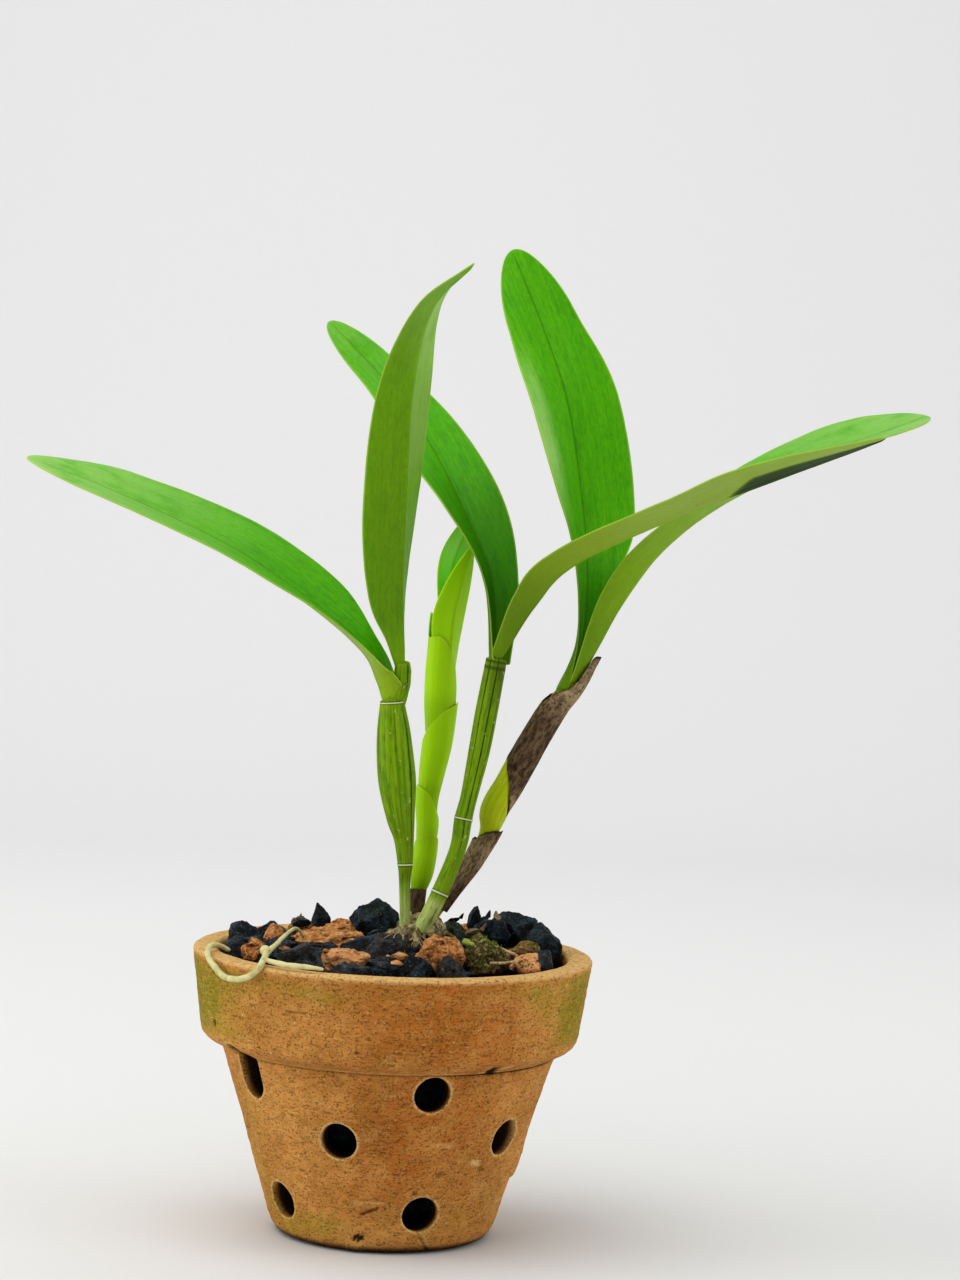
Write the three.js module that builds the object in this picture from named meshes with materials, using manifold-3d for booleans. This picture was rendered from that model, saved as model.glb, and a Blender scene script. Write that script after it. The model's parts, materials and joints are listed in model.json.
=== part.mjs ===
// Young cattleya orchid in a pierced, hand-thrown terracotta pot, planted in
// charcoal and broken brick.
//
// Millimetres, +Z up. The origin is on the pot's axis at the underside of its
// base, and -Y is the front. Angles are in degrees; an azimuth is 0 towards the
// front and grows towards +X.

import * as THREE from 'three';
import { mergeVertices } from 'three/addons/utils/BufferGeometryUtils.js';
import Module from 'manifold-3d';

const wasm = await Module();
wasm.setup();

// ---- Driving dimensions -------------------------------------------------

const GAP = 0.35; // kept between neighbouring pieces

const RIM_RADIUS = 75;
const RIM_HEIGHT = 106.6;
const LIP_WIDTH = 9;
const LIP_ROUNDING = 2;
const COLLAR_RADIUS = 71.2; // near the collar's lower edge
const COLLAR_BOTTOM = 73.2;
const WALL_TOP_RADIUS = 62.8; // body right under the collar
const WALL_TOP_HEIGHT = 70.3;
const FOOT_RADIUS = 43.1; // body right above the rounded foot
const FOOT_HEIGHT = 7.5;
const BASE_RADIUS = 36.5; // flat that the pot stands on
const WALL = 7.5;
const FLOOR = 8;
const INNER_LIP_RADIUS = RIM_RADIUS - LIP_WIDTH;
const POT_SIDES = 36;

const HOLE_RADIUS = 6.75;
const HOLE_SIDES = 10;
const HOLE_ROWS = [
  { height: 62.8, azimuth: 16 },
  { height: 43.5, azimuth: -18 },
  { height: 16, azimuth: 18 },
];
const HOLES_PER_ROW = 5;
const SLOT_AZIMUTH = 16 - 72; // one top hole was dragged into a slot that reaches the collar
const SLOT_HEIGHTS = [61.3, 68.6];
const DRAIN_CIRCLE = 22; // three drain holes round a solid centre
const DRAINS = 3;

const BLADE_THICKNESS = 2; // beside the midrib, at the petiole
const BLADE_THINNING = 0.35; // share of it that is gone at the tip
const BLADE_STOUTNESS = 0.45; // most thickness, as a share of half the width
const MARGIN_THICKNESS = 0.8;
const LEAST_HALF_WIDTH = 0.5; // at the very tip
const SHEATH_THICKNESS = 0.8;
const SLANT = 1.6; // how much longer a gap is along a stem than across a sheath's slanted margin

// Half section of a leaf blade from petiole to tip: the slope beside the midrib
// and the slope at the margin. A petiole is gutter-shaped and a tip nearly flat.
const FOLD = [[11, 74], [30, 46], [32, 31], [25, 18], [17, 11], [9, 7]];

// Leaves. A station is x, y, z on the midrib, the azimuth and elevation that the
// upper side looks towards, and half the blade's width. gutter is a petiole's own
// slope at the margin, where it clasps more than the others do.
const LEAVES = {
  leaf_left_arching: {
    rounding: 0.14,
    gutter: 110,
    stations: [
      [-6.2, 0.5, 199, 95, 15, 8.3], [-9.6, 0.8, 209, 66, 28, 8.4], [-16, 1.5, 219.5, 47, 38, 7.2],
      [-36, 9, 235, 40, 54, 15.5], [-69, 20, 255, 33, 59, 18], [-112, 32, 273, 32, 63, 16],
      [-149, 42, 286, 31, 65, 9],
    ],
  },
  leaf_left_upright: {
    rounding: 0.1,
    stations: [
      [-1, -2, 213.5, -129, 6, 5], [-3, -9, 241, -132, 12, 12.5], [-3, -22, 274, -134, 15, 15.5],
      [-2, -37, 316, -138, 21, 13], [4, -51, 345, -120, 34, 8], [15, -66, 360, -100, 40, 6],
    ],
  },
  leaf_centre_leaning: {
    rounding: 0.14,
    stations: [
      [33.4, 3.2, 215.5, 44, 13, 6.2], [31, 10, 245, 38, 23, 10.5], [21, 22, 270, 27, 37, 15.5],
      [7, 41, 296, 3, 39, 13.5], [-11, 60, 320, -3, 36, 9], [-36, 80, 345, -6, 34, 6.5],
    ],
  },
  leaf_centre_arching: {
    rounding: 0.16,
    stations: [
      [34.8, -0.2, 218, -119, 29, 3.4], [47, -8, 240, -117, 39, 9], [61, -18, 256, -97, 57, 13],
      [99, -30, 276, -104, 65, 15], [127, -41, 288, -123, 67, 18], [169, -52, 306, -113, 68, 8.5],
    ],
  },
  leaf_right_broad: {
    rounding: 0.14,
    gutter: 105,
    stations: [
      [58.4, 4.4, 207, 75, 8, 5.8], [65.2, 8.8, 224, 44, 12, 5.6], [67, 15, 247, 36, 17, 9.5],
      [65.5, 24, 271, 40, 17, 20.5], [58, 35, 315, 25, 21, 21], [48, 47, 344, 4, 23, 13.5],
      [35, 58, 375, -16, 13, 10],
    ],
  },
  leaf_right_arching: {
    rounding: 0.14,
    stations: [
      [64, 1.4, 209.5, -113, 25, 2.2], [81, -2, 244, -116, 29, 9.5], [98, 1, 266, -104, 44, 10],
      [125, 12, 285, -70, 62, 14], [164, 23, 303, -52, 66, 20], [200, 34, 318, -46, 66, 10.5],
    ],
  },
  shoot_leaf_front: {
    rounding: 0.3,
    stations: [
      [15.6, 21.5, 194, -152, 4, 3.6], [16.6, 21, 211, -151, 4, 5.4],
      [17.1, 21, 230, -150, 4, 7.4], [19.4, 22, 243, -148, 5, 6], [23.8, 24, 259, -148, 8, 3.4],
    ],
  },
  shoot_leaf_back: {
    rounding: 0.3,
    stations: [
      [13.6, 26, 196, 48, 4, 3.8], [13.8, 26.5, 214, 48, 4, 5.2], [14.4, 28, 234, 44, 5, 7.8],
      [16.3, 32, 252, 38, 10, 8], [23, 38, 271, 35, 18, 4.6],
    ],
  },
};
const BLADE_STEPS = 10; // along the straight sides
const SHOOT_BLADE_STEPS = 6;
const ROUNDING_STEPS = 4; // round the tip
const BLADE_HALF_FACETS = 2; // from midrib to margin

// Canes and stems, from the rhizome up: x, y, z and radius.
const CANE_LEFT = [
  [4.1, -4, 113, 2], [3.9, -4, 121.6, 2], [3.3, -3, 132.8, 2.2], [3.2, -3, 139.2, 2.8],
  [2.3, -2, 149.1, 3.6], [0.7, -2, 157.2, 5.2], [-1, -1, 169.4, 6.8], [-2.5, 0, 181.4, 6.6],
  [-3.5, 0, 191.5, 5.8], [-4.4, 0, 201.3, 4.4],
];
const STUB_LEFT = [[-2.2, 0, 199, 2.8], [-1.2, 0, 206, 3.3], [-0.8, -1, 211, 3.2], [-1, -2, 215.4, 2.8]];
const CANE_CENTRE = [
  [9, -6, 113, 3], [12.4, -6, 120.2, 3], [16.5, -5, 129.1, 3.3], [22.6, -3, 145.9, 3],
  [24.3, -2, 157.4, 3.2], [26.2, -1, 166.4, 3.1], [29.1, 0, 182.7, 3.8], [31.5, 1, 199.3, 4.1],
  [34.3, 1, 218.4, 3.8],
];
// The right cane's outline. Its two sheaths reach out to this radius, and the
// cane itself is thinner under them.
const CANE_RIGHT = [
  [13, 16, 114, 3], [20.1, 15, 125.6, 3], [23.6, 14, 131.6, 3.4], [28.9, 12, 140.5, 3.8],
  [34.2, 10, 152, 4.4], [36.3, 9, 160.9, 5.5], [41.2, 8, 170, 5.7], [46, 7, 179.8, 5.7],
  [51.9, 6, 191.5, 5.5], [57.5, 5, 201.3, 5.1], [61.7, 4, 207.2, 4.9], [65.4, 3, 213.5, 4.2],
  [68, 3, 219, 3.5], [70.6, 3, 225, 3],
];
const CANE_RIGHT_END = 10.7 / 13; // from here on the stations carry the outline of a sheath only
const SHOOT = [
  [8, 24, 113, 3.1], [8.4, 24, 124, 3.3], [9, 24, 134.4, 3.7], [11.1, 24, 148, 4.4],
  [10.9, 24, 161.5, 4.6], [12, 24, 173.1, 5], [13.4, 24, 184.7, 5.7], [13.9, 24, 198.9, 6.1],
  [13.8, 24, 211.5, 5.9], [14.2, 24, 225, 5.2], [14.6, 24, 238, 4.6],
];
const SHOOT_TOP = 0.66; // the stem ends inside the last bract
const SHOOT_STEM_LEAST = 0.9; // radius of the stem inside its bracts
const STATION_LENGTH = 10; // about what lies between two stations of a sheathed stem

const LEFT_RIBS = 7; // lengthwise ridges of the swollen cane
const LEFT_RIB_DEPTH = 0.3;
const CENTRE_RIBS = 6;
const CENTRE_RIB_DEPTH = 0.25;

// Sheaths and bracts, as stretches of the cane or stem that they wrap, in
// stations: where each starts and ends on its tip's side and on the other side.
// tip is the side of the point (0 is +X, 90 is +Y), flare is how far the point
// stands off, and swell is how far the wrap stands out of the outline.
const RIGHT_SHEATHS = {
  sheath_right_lower: { from: [0.6, 0.6], to: [4.05, 3.45], tip: -15, flare: 1, swell: 0 },
  sheath_right_upper: { from: [4.25, 6.9], to: [12.2, 9.2], tip: -10, flare: 1.8, swell: 0 },
};
const SHOOT_BRACTS = {
  bract_1_base: { from: [0.5, 0.5], to: [1.35, 1.1], tip: 160, flare: 0, swell: 0 },
  bract_2: { from: [1, 1], to: [3.3, 2.1], tip: 0, flare: 1.8, swell: 0.8 },
  bract_3: { from: [2.3, 2.3], to: [4.6, 3.8], tip: 180, flare: 0.6, swell: 0.1 },
  bract_4: { from: [3.6, 3.6], to: [7.05, 6.1], tip: 0, flare: 1.2, swell: 0.2 },
  bract_5: { from: [6.2, 6.2], to: [9.55, 7.9], tip: 188, flare: 0.5, swell: 0 },
};

// Rhizome, its roots, and loose bits of root and twig on the surface.
const RHIZOME = [
  [-5, -7, 110, 2.4], [4, -4, 113.6, 3.3], [11, -5, 114.4, 3.6], [16, 5, 114, 3.3],
  [14, 16, 114.6, 3.4], [8, 24, 115, 3.3], [2, 29, 111, 2.2],
];
const RHIZOME_ROOTS = [
  [[9, -7, 115, 1.5], [8.5, -11.5, 111, 1.4], [8, -13, 103, 1.1]],
  [[13, -8, 115, 1.4], [16.5, -11.5, 111.5, 1.3], [18, -13, 103, 1]],
  [[3, -5, 113, 1.4], [-5, 0, 109, 1.3], [-8, 2, 101, 1]],
  [[15, 14, 114, 1.4], [24, 10, 109, 1.3], [28, 9, 101, 1]],
  [[8, 24, 114, 1.4], [2, 34, 109.5, 1.3], [0, 37, 101, 1]],
  [[13, 17, 114, 1.4], [20, 27, 109.5, 1.3], [22, 31, 101, 1]],
];
const AERIAL_ROOT_MAIN = [
  [-33, 6, 108, 1.3], [-36.5, -2, 113.5, 1.4], [-40.3, -16, 112.6, 1.5], [-43, -30, 111, 1.5],
  [-45.4, -42, 110, 1.6], [-46, -49, 109.4, 1.6], [-46.4, -56, 108.9, 1.6],
  [-47.8, -60.3, 106.4, 1.6], [-50.9, -57.9, 103.3, 1.6], [-55.4, -54, 101.4, 1.6],
  [-60.4, -48.2, 101.2, 1.6], [-64, -43.6, 103.5, 1.6], [-67.2, -37.6, 106.6, 1.5],
  [-67.6, -29.5, 108.9, 1.5], [-66, -22, 108.8, 1.5], [-63.5, -17.5, 107.8, 1.4],
  [-60.5, -16, 106, 1.2],
];
const AERIAL_ROOT_FORK = [
  [-46, -55, 109, 1.2], [-42, -59.4, 108.8, 1.4], [-38.2, -63, 108.6, 1.4],
  [-33.4, -65, 108.6, 1.4], [-28, -67, 108.5, 1.2], [-24.4, -66.8, 108.1, 0.9],
];
const AERIAL_ROOT_KNOT = [[-46.6, -43, 109.4, 1.8], [-46.4, -44.6, 111, 2.5], [-44.6, -46, 110.6, 1.6]];
const LOOSE_BITS = {
  root_bit_green: {
    colour: 'greenRoot',
    path: [[25.6, -26, 114.6, 1.4], [30, -28.6, 113.6, 1.2], [34, -31, 112.4, 1.2], [36.4, -33, 110, 0.9]],
  },
  twig_1: {
    colour: 'twig',
    path: [[37, -24, 113, 0.7], [41, -27.5, 112, 0.7], [46, -31, 110.6, 0.6]],
  },
  twig_2: {
    colour: 'twig',
    path: [[35.5, -38.4, 108.6, 0.6], [40, -38.6, 108.8, 0.6], [45, -38.2, 109.6, 0.5]],
  },
};

// Broken brick and charcoal on the surface: x, y, z of the middle and half the
// size each way. Every lump is a block with chipped corners.
const BRICKS = [
  [-51, -16, 104.5, 5, 6, 7.5], [-45, 21, 105.5, 5, 6, 6.5], [-25, 9, 107, 15.5, 9.5, 7],
  [-18, -34, 105.5, 11, 7, 6.5], [16, -33, 109, 9.5, 8.5, 9.5], [34, -29, 107.5, 9.5, 8.5, 9.5],
  [49, -34, 107, 6, 5.5, 6], [50, -5, 108, 7.5, 6.5, 6], [55, 31, 108, 3.5, 4, 5.5],
  [-36, 45, 107, 5.5, 5, 5.5], [-21, 33, 106, 8, 7, 6.5], [28, 49, 106, 7, 6, 6.5],
  [8, 57, 105, 6, 5, 6],
];
const CHARCOAL = [
  [-56, 8, 105.5, 7.5, 8, 8.5], [-58, -7, 104, 6.5, 7, 7.5], [-47, 34, 105, 8, 8, 7.5],
  [-29, 53, 107.5, 5, 5, 8.5], [-35, -36, 105.5, 8, 8, 7.5], [-15, -51, 103.5, 8.5, 7, 6.5],
  [-8, 44, 109, 10, 9.5, 10], [-1, -15, 107, 10, 9, 9.5], [-2, -51, 104.5, 4.8, 5.5, 5.5],
  [9, -50, 105, 6.5, 6, 7.5], [21, -50, 105, 6.5, 6, 7], [23, 20, 109.5, 8, 8, 7.5],
  [37, 26, 110.4, 9, 8, 8], [31, 34, 113, 3.2, 3.2, 7], [46, 34, 111.4, 9, 8.5, 8.5],
  [56, 14, 108.4, 9, 11, 8.6], [54, -21, 105.5, 6.5, 7.5, 6.5], [8, 4, 108.5, 9, 8, 6],
  [7, 20, 109, 8, 8, 6], [-12, -2, 104.5, 9, 8, 7.5],
];
const SURFACE_PITCH = 18; // spacing of the plain lumps between them
const SURFACE_JITTER = 0.3; // how far a plain lump strays, as a share of the pitch
const SURFACE_OVERLAP = 0.55; // a plain lump this near a placed one, in its widths, is left out
const SURFACE_REACH = 57;
const SURFACE_LUMP = [11.5, 11.5, 9];
const SURFACE_HEIGHT = [103, 99]; // middle of a plain lump at the axis and at the wall
const CHIPS = 11; // planes that chip a lump
const CHIP_DEPTH = [0.62, 0.95]; // of the lump's half size
const LUMP_CORNER = 1.12; // furthest that a corner reaches, of the lump's half size
const CHIP_EDGE = 0.2; // cosine past which a chip's plane no longer cuts

// ---- Finishes -----------------------------------------------------------

const finish = (color, roughness) => new THREE.MeshStandardMaterial({ color, roughness, metalness: 0 });
const FINISHES = {
  terracotta: finish('#b9793f', 0.9),
  charcoal: finish('#23272d', 0.85),
  brick: finish('#b4622f', 0.95),
  leaf: finish('#3f9a1e', 0.42),
  youngLeaf: finish('#7fbf1c', 0.45),
  cane: finish('#5f9a26', 0.5),
  sheath: finish('#6f5a43', 0.85),
  rhizome: finish('#6f6a3c', 0.85),
  paleRoot: finish('#dcdca8', 0.7),
  greenRoot: finish('#a9bc62', 0.7),
  twig: finish('#8d7152', 0.9),
};

// ---- Small helpers ------------------------------------------------------

const { degToRad, smoothstep, lerp } = THREE.MathUtils;
const vector = (x, y, z) => new THREE.Vector3(x, y, z);

/** Unit vector towards an azimuth and elevation in degrees. */
function towards(azimuth, elevation) {
  const a = degToRad(azimuth);
  const e = degToRad(elevation);
  return vector(Math.sin(a) * Math.cos(e), -Math.cos(a) * Math.cos(e), Math.sin(e));
}

/** Seeded random numbers from 0 to 1 (mulberry32). */
function seeded(seed) {
  let state = seed >>> 0;
  return () => {
    state = (state + 0x6d2b79f5) >>> 0;
    let mixed = Math.imul(state ^ (state >>> 15), state | 1);
    mixed = (mixed + Math.imul(mixed ^ (mixed >>> 7), mixed | 61)) ^ mixed;
    return ((mixed ^ (mixed >>> 14)) >>> 0) / 4294967296;
  };
}

/** Smooth curve through points given as vectors. */
const smooth = points => new THREE.CatmullRomCurve3(points, false, 'catmullrom');

/** Closed solid from a geometry whose surface is closed. */
function solid(geometry) {
  geometry.deleteAttribute('normal');
  geometry.deleteAttribute('uv');
  const merged = mergeVertices(geometry, 1e-4);
  return new wasm.Manifold(new wasm.Mesh({
    numProp: 3,
    vertProperties: Float32Array.from(merged.attributes.position.array),
    triVerts: Uint32Array.from(merged.index.array),
  }));
}

/** The largest body of a solid: loose scraps of a cut are dropped. */
function largest(body) {
  return body.decompose().reduce((best, part) => (part.volume() > best.volume() ? part : best));
}

const joined = bodies => bodies.reduce((whole, body) => whole.add(body));
const without = (body, others) => largest(others.reduce((rest, other) => rest.subtract(other), body));

/** Closed surface over rings of points that run round a path, with flat ends. */
function skin(rings) {
  const sides = rings[0].length;
  const positions = rings.flat().flatMap(point => point.toArray());
  const triangles = [];
  for (let ring = 0; ring + 1 < rings.length; ring += 1) {
    for (let side = 0; side < sides; side += 1) {
      const a = ring * sides + side;
      const b = ring * sides + ((side + 1) % sides);
      const c = b + sides;
      const d = a + sides;
      // The first half of a ring and the second are split alike, as the two faces of a blade.
      if (side < sides / 2) triangles.push(a, b, c, a, c, d);
      else triangles.push(a, b, d, b, c, d);
    }
  }
  const end = (rings.length - 1) * sides;
  for (let side = 0; side + 1 < sides / 2; side += 1) {
    const a = side;
    const b = side + 1;
    const c = sides - 2 - side;
    const d = sides - 1 - side;
    triangles.push(a, c, b, a, d, c, end + a, end + b, end + c, end + a, end + c, end + d);
  }
  const geometry = new THREE.BufferGeometry();
  geometry.setAttribute('position', new THREE.Float32BufferAttribute(positions, 3));
  geometry.setIndex(triangles);
  return solid(geometry);
}

/** Closed surface over rings that come back to the first one, as a sleeve's do. */
function loopSkin(rings) {
  const sides = rings[0].length;
  const count = rings.length;
  const positions = rings.flat().flatMap(point => point.toArray());
  const triangles = [];
  for (let ring = 0; ring < count; ring += 1) {
    for (let side = 0; side < sides; side += 1) {
      const next = (ring + 1) % count;
      const a = ring * sides + side;
      const b = ring * sides + ((side + 1) % sides);
      const c = next * sides + ((side + 1) % sides);
      const d = next * sides + side;
      triangles.push(a, b, c, a, c, d);
    }
  }
  const geometry = new THREE.BufferGeometry();
  geometry.setAttribute('position', new THREE.Float32BufferAttribute(positions, 3));
  geometry.setIndex(triangles);
  return solid(geometry);
}

// ---- Stems, roots and sheaths -------------------------------------------

/** A stem's axis and radius from its stations. */
function stemLine(stations) {
  const axis = smooth(stations.map(([x, y, z]) => vector(x, y, z)));
  const radii = smooth(stations.map(([, , , radius]) => vector(radius, 0, 0)));
  return {
    last: stations.length - 1,
    /** Point at a share of the stations (0 to 1), an angle round the axis (0 is +X, 90 is +Y). */
    at(share, angle, radius) {
      const along = axis.getTangent(share);
      const right = vector(0, 1, 0).cross(along).normalize();
      const back = along.clone().cross(right);
      return axis.getPoint(share)
        .addScaledVector(right, radius * Math.cos(angle))
        .addScaledVector(back, radius * Math.sin(angle));
    },
    along: share => axis.getTangent(share),
    radius: share => radii.getPoint(share).x,
  };
}

/** Stem with flat ends. ribs ridges run lengthwise. trim thins it under its sheaths. */
function stem(stations, { steps, sides, ribs = 0, depth = 0, end = 1, grow = 0, trim = () => 0 }) {
  const line = stemLine(stations);
  const rings = [];
  for (let step = 0; step <= steps; step += 1) {
    const share = (end * step) / steps;
    const radius = line.radius(share) - trim(share) + grow;
    const belly = depth * Math.sin(Math.PI * share);
    const past = (Math.sign(step) + Math.floor(step / steps) - 1) * grow;
    rings.push(Array.from({ length: sides }, (_, side) => {
      const angle = (2 * Math.PI * side) / sides;
      return line.at(share, angle, radius + belly * Math.cos(ribs * angle))
        .addScaledVector(line.along(share), past);
    }));
  }
  return skin(rings);
}

/** Papery sleeve round a stem, with a slanted or pointed margin at each end. */
function sleeve(stations, { from, to, tip, flare, swell }, { rows, sides, grow = 0 }) {
  const line = stemLine(stations);
  const ends = (SLANT * grow) / STATION_LENGTH;
  const outer = [];
  const inner = [];
  for (let row = 0; row <= rows; row += 1) {
    const rise = row / rows;
    const ringOuter = [];
    const ringInner = [];
    for (let side = 0; side < sides; side += 1) {
      const angle = (2 * Math.PI * side) / sides;
      const facing = (1 + Math.cos(angle - degToRad(tip))) / 2;
      const start = lerp(from[1], from[0], facing) - ends;
      const finishAt = lerp(to[1], to[0], facing ** 2) + ends;
      const share = Math.min(lerp(start, finishAt, rise) / line.last, 1);
      const stand = swell * Math.sin(Math.PI * rise) + flare * facing ** 3 * rise ** 3;
      const radius = line.radius(share) + stand;
      ringOuter.push(line.at(share, angle, radius + grow));
      ringInner.push(line.at(share, angle, radius - SHEATH_THICKNESS - grow));
    }
    outer.push(ringOuter);
    inner.unshift(ringInner);
  }
  return loopSkin([...outer, ...inner]);
}

// ---- Leaves -------------------------------------------------------------

/** Leaf blade, folded along its midrib, with a rounded tip and thinner margins. */
function blade({ stations, rounding, gutter = FOLD[0][1] }, steps, grow) {
  const midrib = smooth(stations.map(([x, y, z]) => vector(x, y, z)));
  const faces = smooth(stations.map(([, , , azimuth, elevation]) => towards(azimuth, elevation)));
  const widths = smooth(stations.map(([, , , , , half]) => vector(half, 0, 0)));
  const folds = smooth(
    FOLD.map(([keel, margin], station) => vector(keel, station === 0 ? gutter : margin, 0)),
  );
  const rings = [];
  const ring = (share, narrowing) => {
    const along = midrib.getTangent(share);
    const face = faces.getPoint(share);
    face.addScaledVector(along, -face.dot(along)).normalize();
    const side = along.clone().cross(face);
    const centre = midrib.getPoint(share);
    const half = Math.max(widths.getPoint(share).x * narrowing, LEAST_HALF_WIDTH) + grow;
    const fold = folds.getPoint(share);
    const keel = degToRad(fold.x);
    const margin = degToRad(fold.y);
    const body = Math.min(BLADE_THICKNESS * (1 - BLADE_THINNING * share), BLADE_STOUTNESS * half);
    const upper = [];
    const lower = [];
    for (let facet = -BLADE_HALF_FACETS; facet <= BLADE_HALF_FACETS; facet += 1) {
      const out = Math.abs(facet) / BLADE_HALF_FACETS;
      const slope = lerp(keel, margin, out);
      const hand = Math.sign(facet);
      const across = (hand * half * (Math.sin(slope) - Math.sin(keel))) / (margin - keel);
      const lift = (half * (Math.cos(keel) - Math.cos(slope))) / (margin - keel);
      const depth = Math.max(lerp(body, MARGIN_THICKNESS, out ** 2), MARGIN_THICKNESS) / 2 + grow;
      const lean = facet === 0 ? 0 : -hand * Math.sin(slope);
      const stand = facet === 0 ? 1 / Math.cos(keel) : Math.cos(slope);
      const place = sign => centre.clone()
        .addScaledVector(side, across + sign * lean * depth)
        .addScaledVector(face, lift + sign * stand * depth);
      upper.push(place(1));
      lower.unshift(place(-1));
    }
    rings.push([...upper, ...lower]);
  };
  for (let step = 0; step <= steps; step += 1) ring(((1 - rounding) * step) / steps, 1);
  for (let step = 1; step <= ROUNDING_STEPS; step += 1) {
    const turn = (Math.PI / 2) * (step / ROUNDING_STEPS);
    ring(1 - rounding + rounding * Math.sin(turn), Math.cos(turn));
  }
  return skin(rings);
}

// ---- Lumps of charcoal and brick ----------------------------------------

/** Lump with chipped corners: a ball cut by seeded planes, stretched to its half sizes. */
function lump([x, y, z, halfX, halfY, halfZ], seed, { grow = 0, plain = false } = {}) {
  const random = seeded(seed);
  const chips = Array.from({ length: CHIPS }, () => {
    const height = 2 * random() - 1;
    const turn = 2 * Math.PI * random();
    const level = Math.sqrt(1 - height * height);
    return {
      normal: vector(level * Math.cos(turn), level * Math.sin(turn), height),
      depth: lerp(CHIP_DEPTH[0], CHIP_DEPTH[1], random()),
    };
  });
  const geometry = plain ? new THREE.DodecahedronGeometry(1) : new THREE.IcosahedronGeometry(1, 1);
  const position = geometry.attributes.position;
  for (let index = 0; index < position.count; index += 1) {
    const direction = vector().fromBufferAttribute(position, index);
    const reach = chips.reduce((least, { normal, depth }) => {
      const facing = direction.dot(normal);
      return facing > CHIP_EDGE ? Math.min(least, depth / facing) : least;
    }, LUMP_CORNER);
    direction.multiplyScalar(reach).multiply(vector(halfX + grow, halfY + grow, halfZ + grow));
    position.setXYZ(index, x + direction.x, y + direction.y, z + direction.z);
  }
  return solid(geometry);
}

/** Plain lumps on a jittered triangular grid, where no placed lump lies already. */
function surfaceLumps(placed) {
  const random = seeded(7);
  const lumps = [];
  const rows = Math.ceil(SURFACE_REACH / SURFACE_PITCH) + 1;
  for (let row = -rows; row <= rows; row += 1) {
    for (let column = -rows; column <= rows; column += 1) {
      const x = (column + (row % 2) / 2 + SURFACE_JITTER * (random() - 0.5)) * SURFACE_PITCH;
      const y = (row * Math.sqrt(0.75) + SURFACE_JITTER * (random() - 0.5)) * SURFACE_PITCH;
      const reach = Math.hypot(x, y);
      const covered = placed.some(
        ([px, py, , hx, hy]) => Math.hypot(x - px, y - py) < SURFACE_OVERLAP * (hx + hy),
      );
      if (reach > SURFACE_REACH || covered) continue;
      const z = lerp(SURFACE_HEIGHT[0], SURFACE_HEIGHT[1], reach / SURFACE_REACH) + random();
      lumps.push([x, y, z, ...SURFACE_LUMP]);
    }
  }
  return lumps;
}

// ---- Pot ----------------------------------------------------------------

/** Closed lathe solid from [radius, height] pairs. */
const turned = profile => solid(
  new THREE.LatheGeometry(profile.map(([radius, height]) => new THREE.Vector2(radius, height)), POT_SIDES)
    .rotateX(Math.PI / 2),
);

/** Round bar through a point along a direction, to cut a hole. */
function bar(point, direction, length) {
  const geometry = new THREE.CylinderGeometry(HOLE_RADIUS, HOLE_RADIUS, length, HOLE_SIDES);
  const turn = new THREE.Quaternion().setFromUnitVectors(vector(0, 1, 0), direction);
  geometry.applyQuaternion(turn).translate(...point.toArray());
  return solid(geometry);
}

const innerRadius = height => lerp(
  FOOT_RADIUS - WALL, WALL_TOP_RADIUS - WALL, (height - FLOOR) / (WALL_TOP_HEIGHT - FLOOR),
);

/** A quarter of the lip's rounding about a centre, from one turn (0 outwards, 90 up) to the next. */
const lipCorner = (radius, from, to) => [from, (from + to) / 2, to].map(turn => [
  radius + LIP_ROUNDING * Math.cos(degToRad(turn)),
  RIM_HEIGHT - LIP_ROUNDING + LIP_ROUNDING * Math.sin(degToRad(turn)),
]);

function makePot() {
  const body = turned([
    [0, 0], [BASE_RADIUS, 0], [39.8, 1.2], [41.8, 3.8], [FOOT_RADIUS, FOOT_HEIGHT],
    [WALL_TOP_RADIUS, WALL_TOP_HEIGHT], [COLLAR_RADIUS - 2.6, COLLAR_BOTTOM],
    [COLLAR_RADIUS - 0.6, COLLAR_BOTTOM + 2], [COLLAR_RADIUS, COLLAR_BOTTOM + 5],
    ...lipCorner(RIM_RADIUS - LIP_ROUNDING, 0, 90),
    ...lipCorner(INNER_LIP_RADIUS + LIP_ROUNDING, 90, 180),
    [INNER_LIP_RADIUS - 2, RIM_HEIGHT - 16], [innerRadius(WALL_TOP_HEIGHT), WALL_TOP_HEIGHT],
    [innerRadius(FLOOR), FLOOR], [0, FLOOR],
  ]);
  const holes = HOLE_ROWS.flatMap(({ height, azimuth }) => Array.from(
    { length: HOLES_PER_ROW },
    (_, hole) => {
      const direction = towards(azimuth + (360 / HOLES_PER_ROW) * hole, 0);
      return bar(direction.clone().multiplyScalar(50).setZ(height), direction, 60);
    },
  ));
  const slotSide = towards(SLOT_AZIMUTH, 0);
  const slot = SLOT_HEIGHTS.map(
    height => bar(slotSide.clone().multiplyScalar(50).setZ(height), slotSide, 60),
  );
  const drains = Array.from({ length: DRAINS }, (_, drain) => {
    const place = towards((360 / DRAINS) * drain, 0).multiplyScalar(DRAIN_CIRCLE);
    return bar(place.setZ(FLOOR / 2), vector(0, 0, 1), 3 * FLOOR);
  });
  return without(body, [...holes, ...slot, ...drains]);
}

/** The pot's inside, clear of its wall and open at the top. */
const makeCavity = () => turned([
  [0, FLOOR + GAP], [innerRadius(FLOOR) - 1, FLOOR + GAP],
  [innerRadius(WALL_TOP_HEIGHT) - 1, WALL_TOP_HEIGHT], [INNER_LIP_RADIUS - 3.2, RIM_HEIGHT - 16],
  [INNER_LIP_RADIUS - 1, RIM_HEIGHT - 6], [INNER_LIP_RADIUS - 1, RIM_HEIGHT + 30],
  [0, RIM_HEIGHT + 30],
]);

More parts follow.
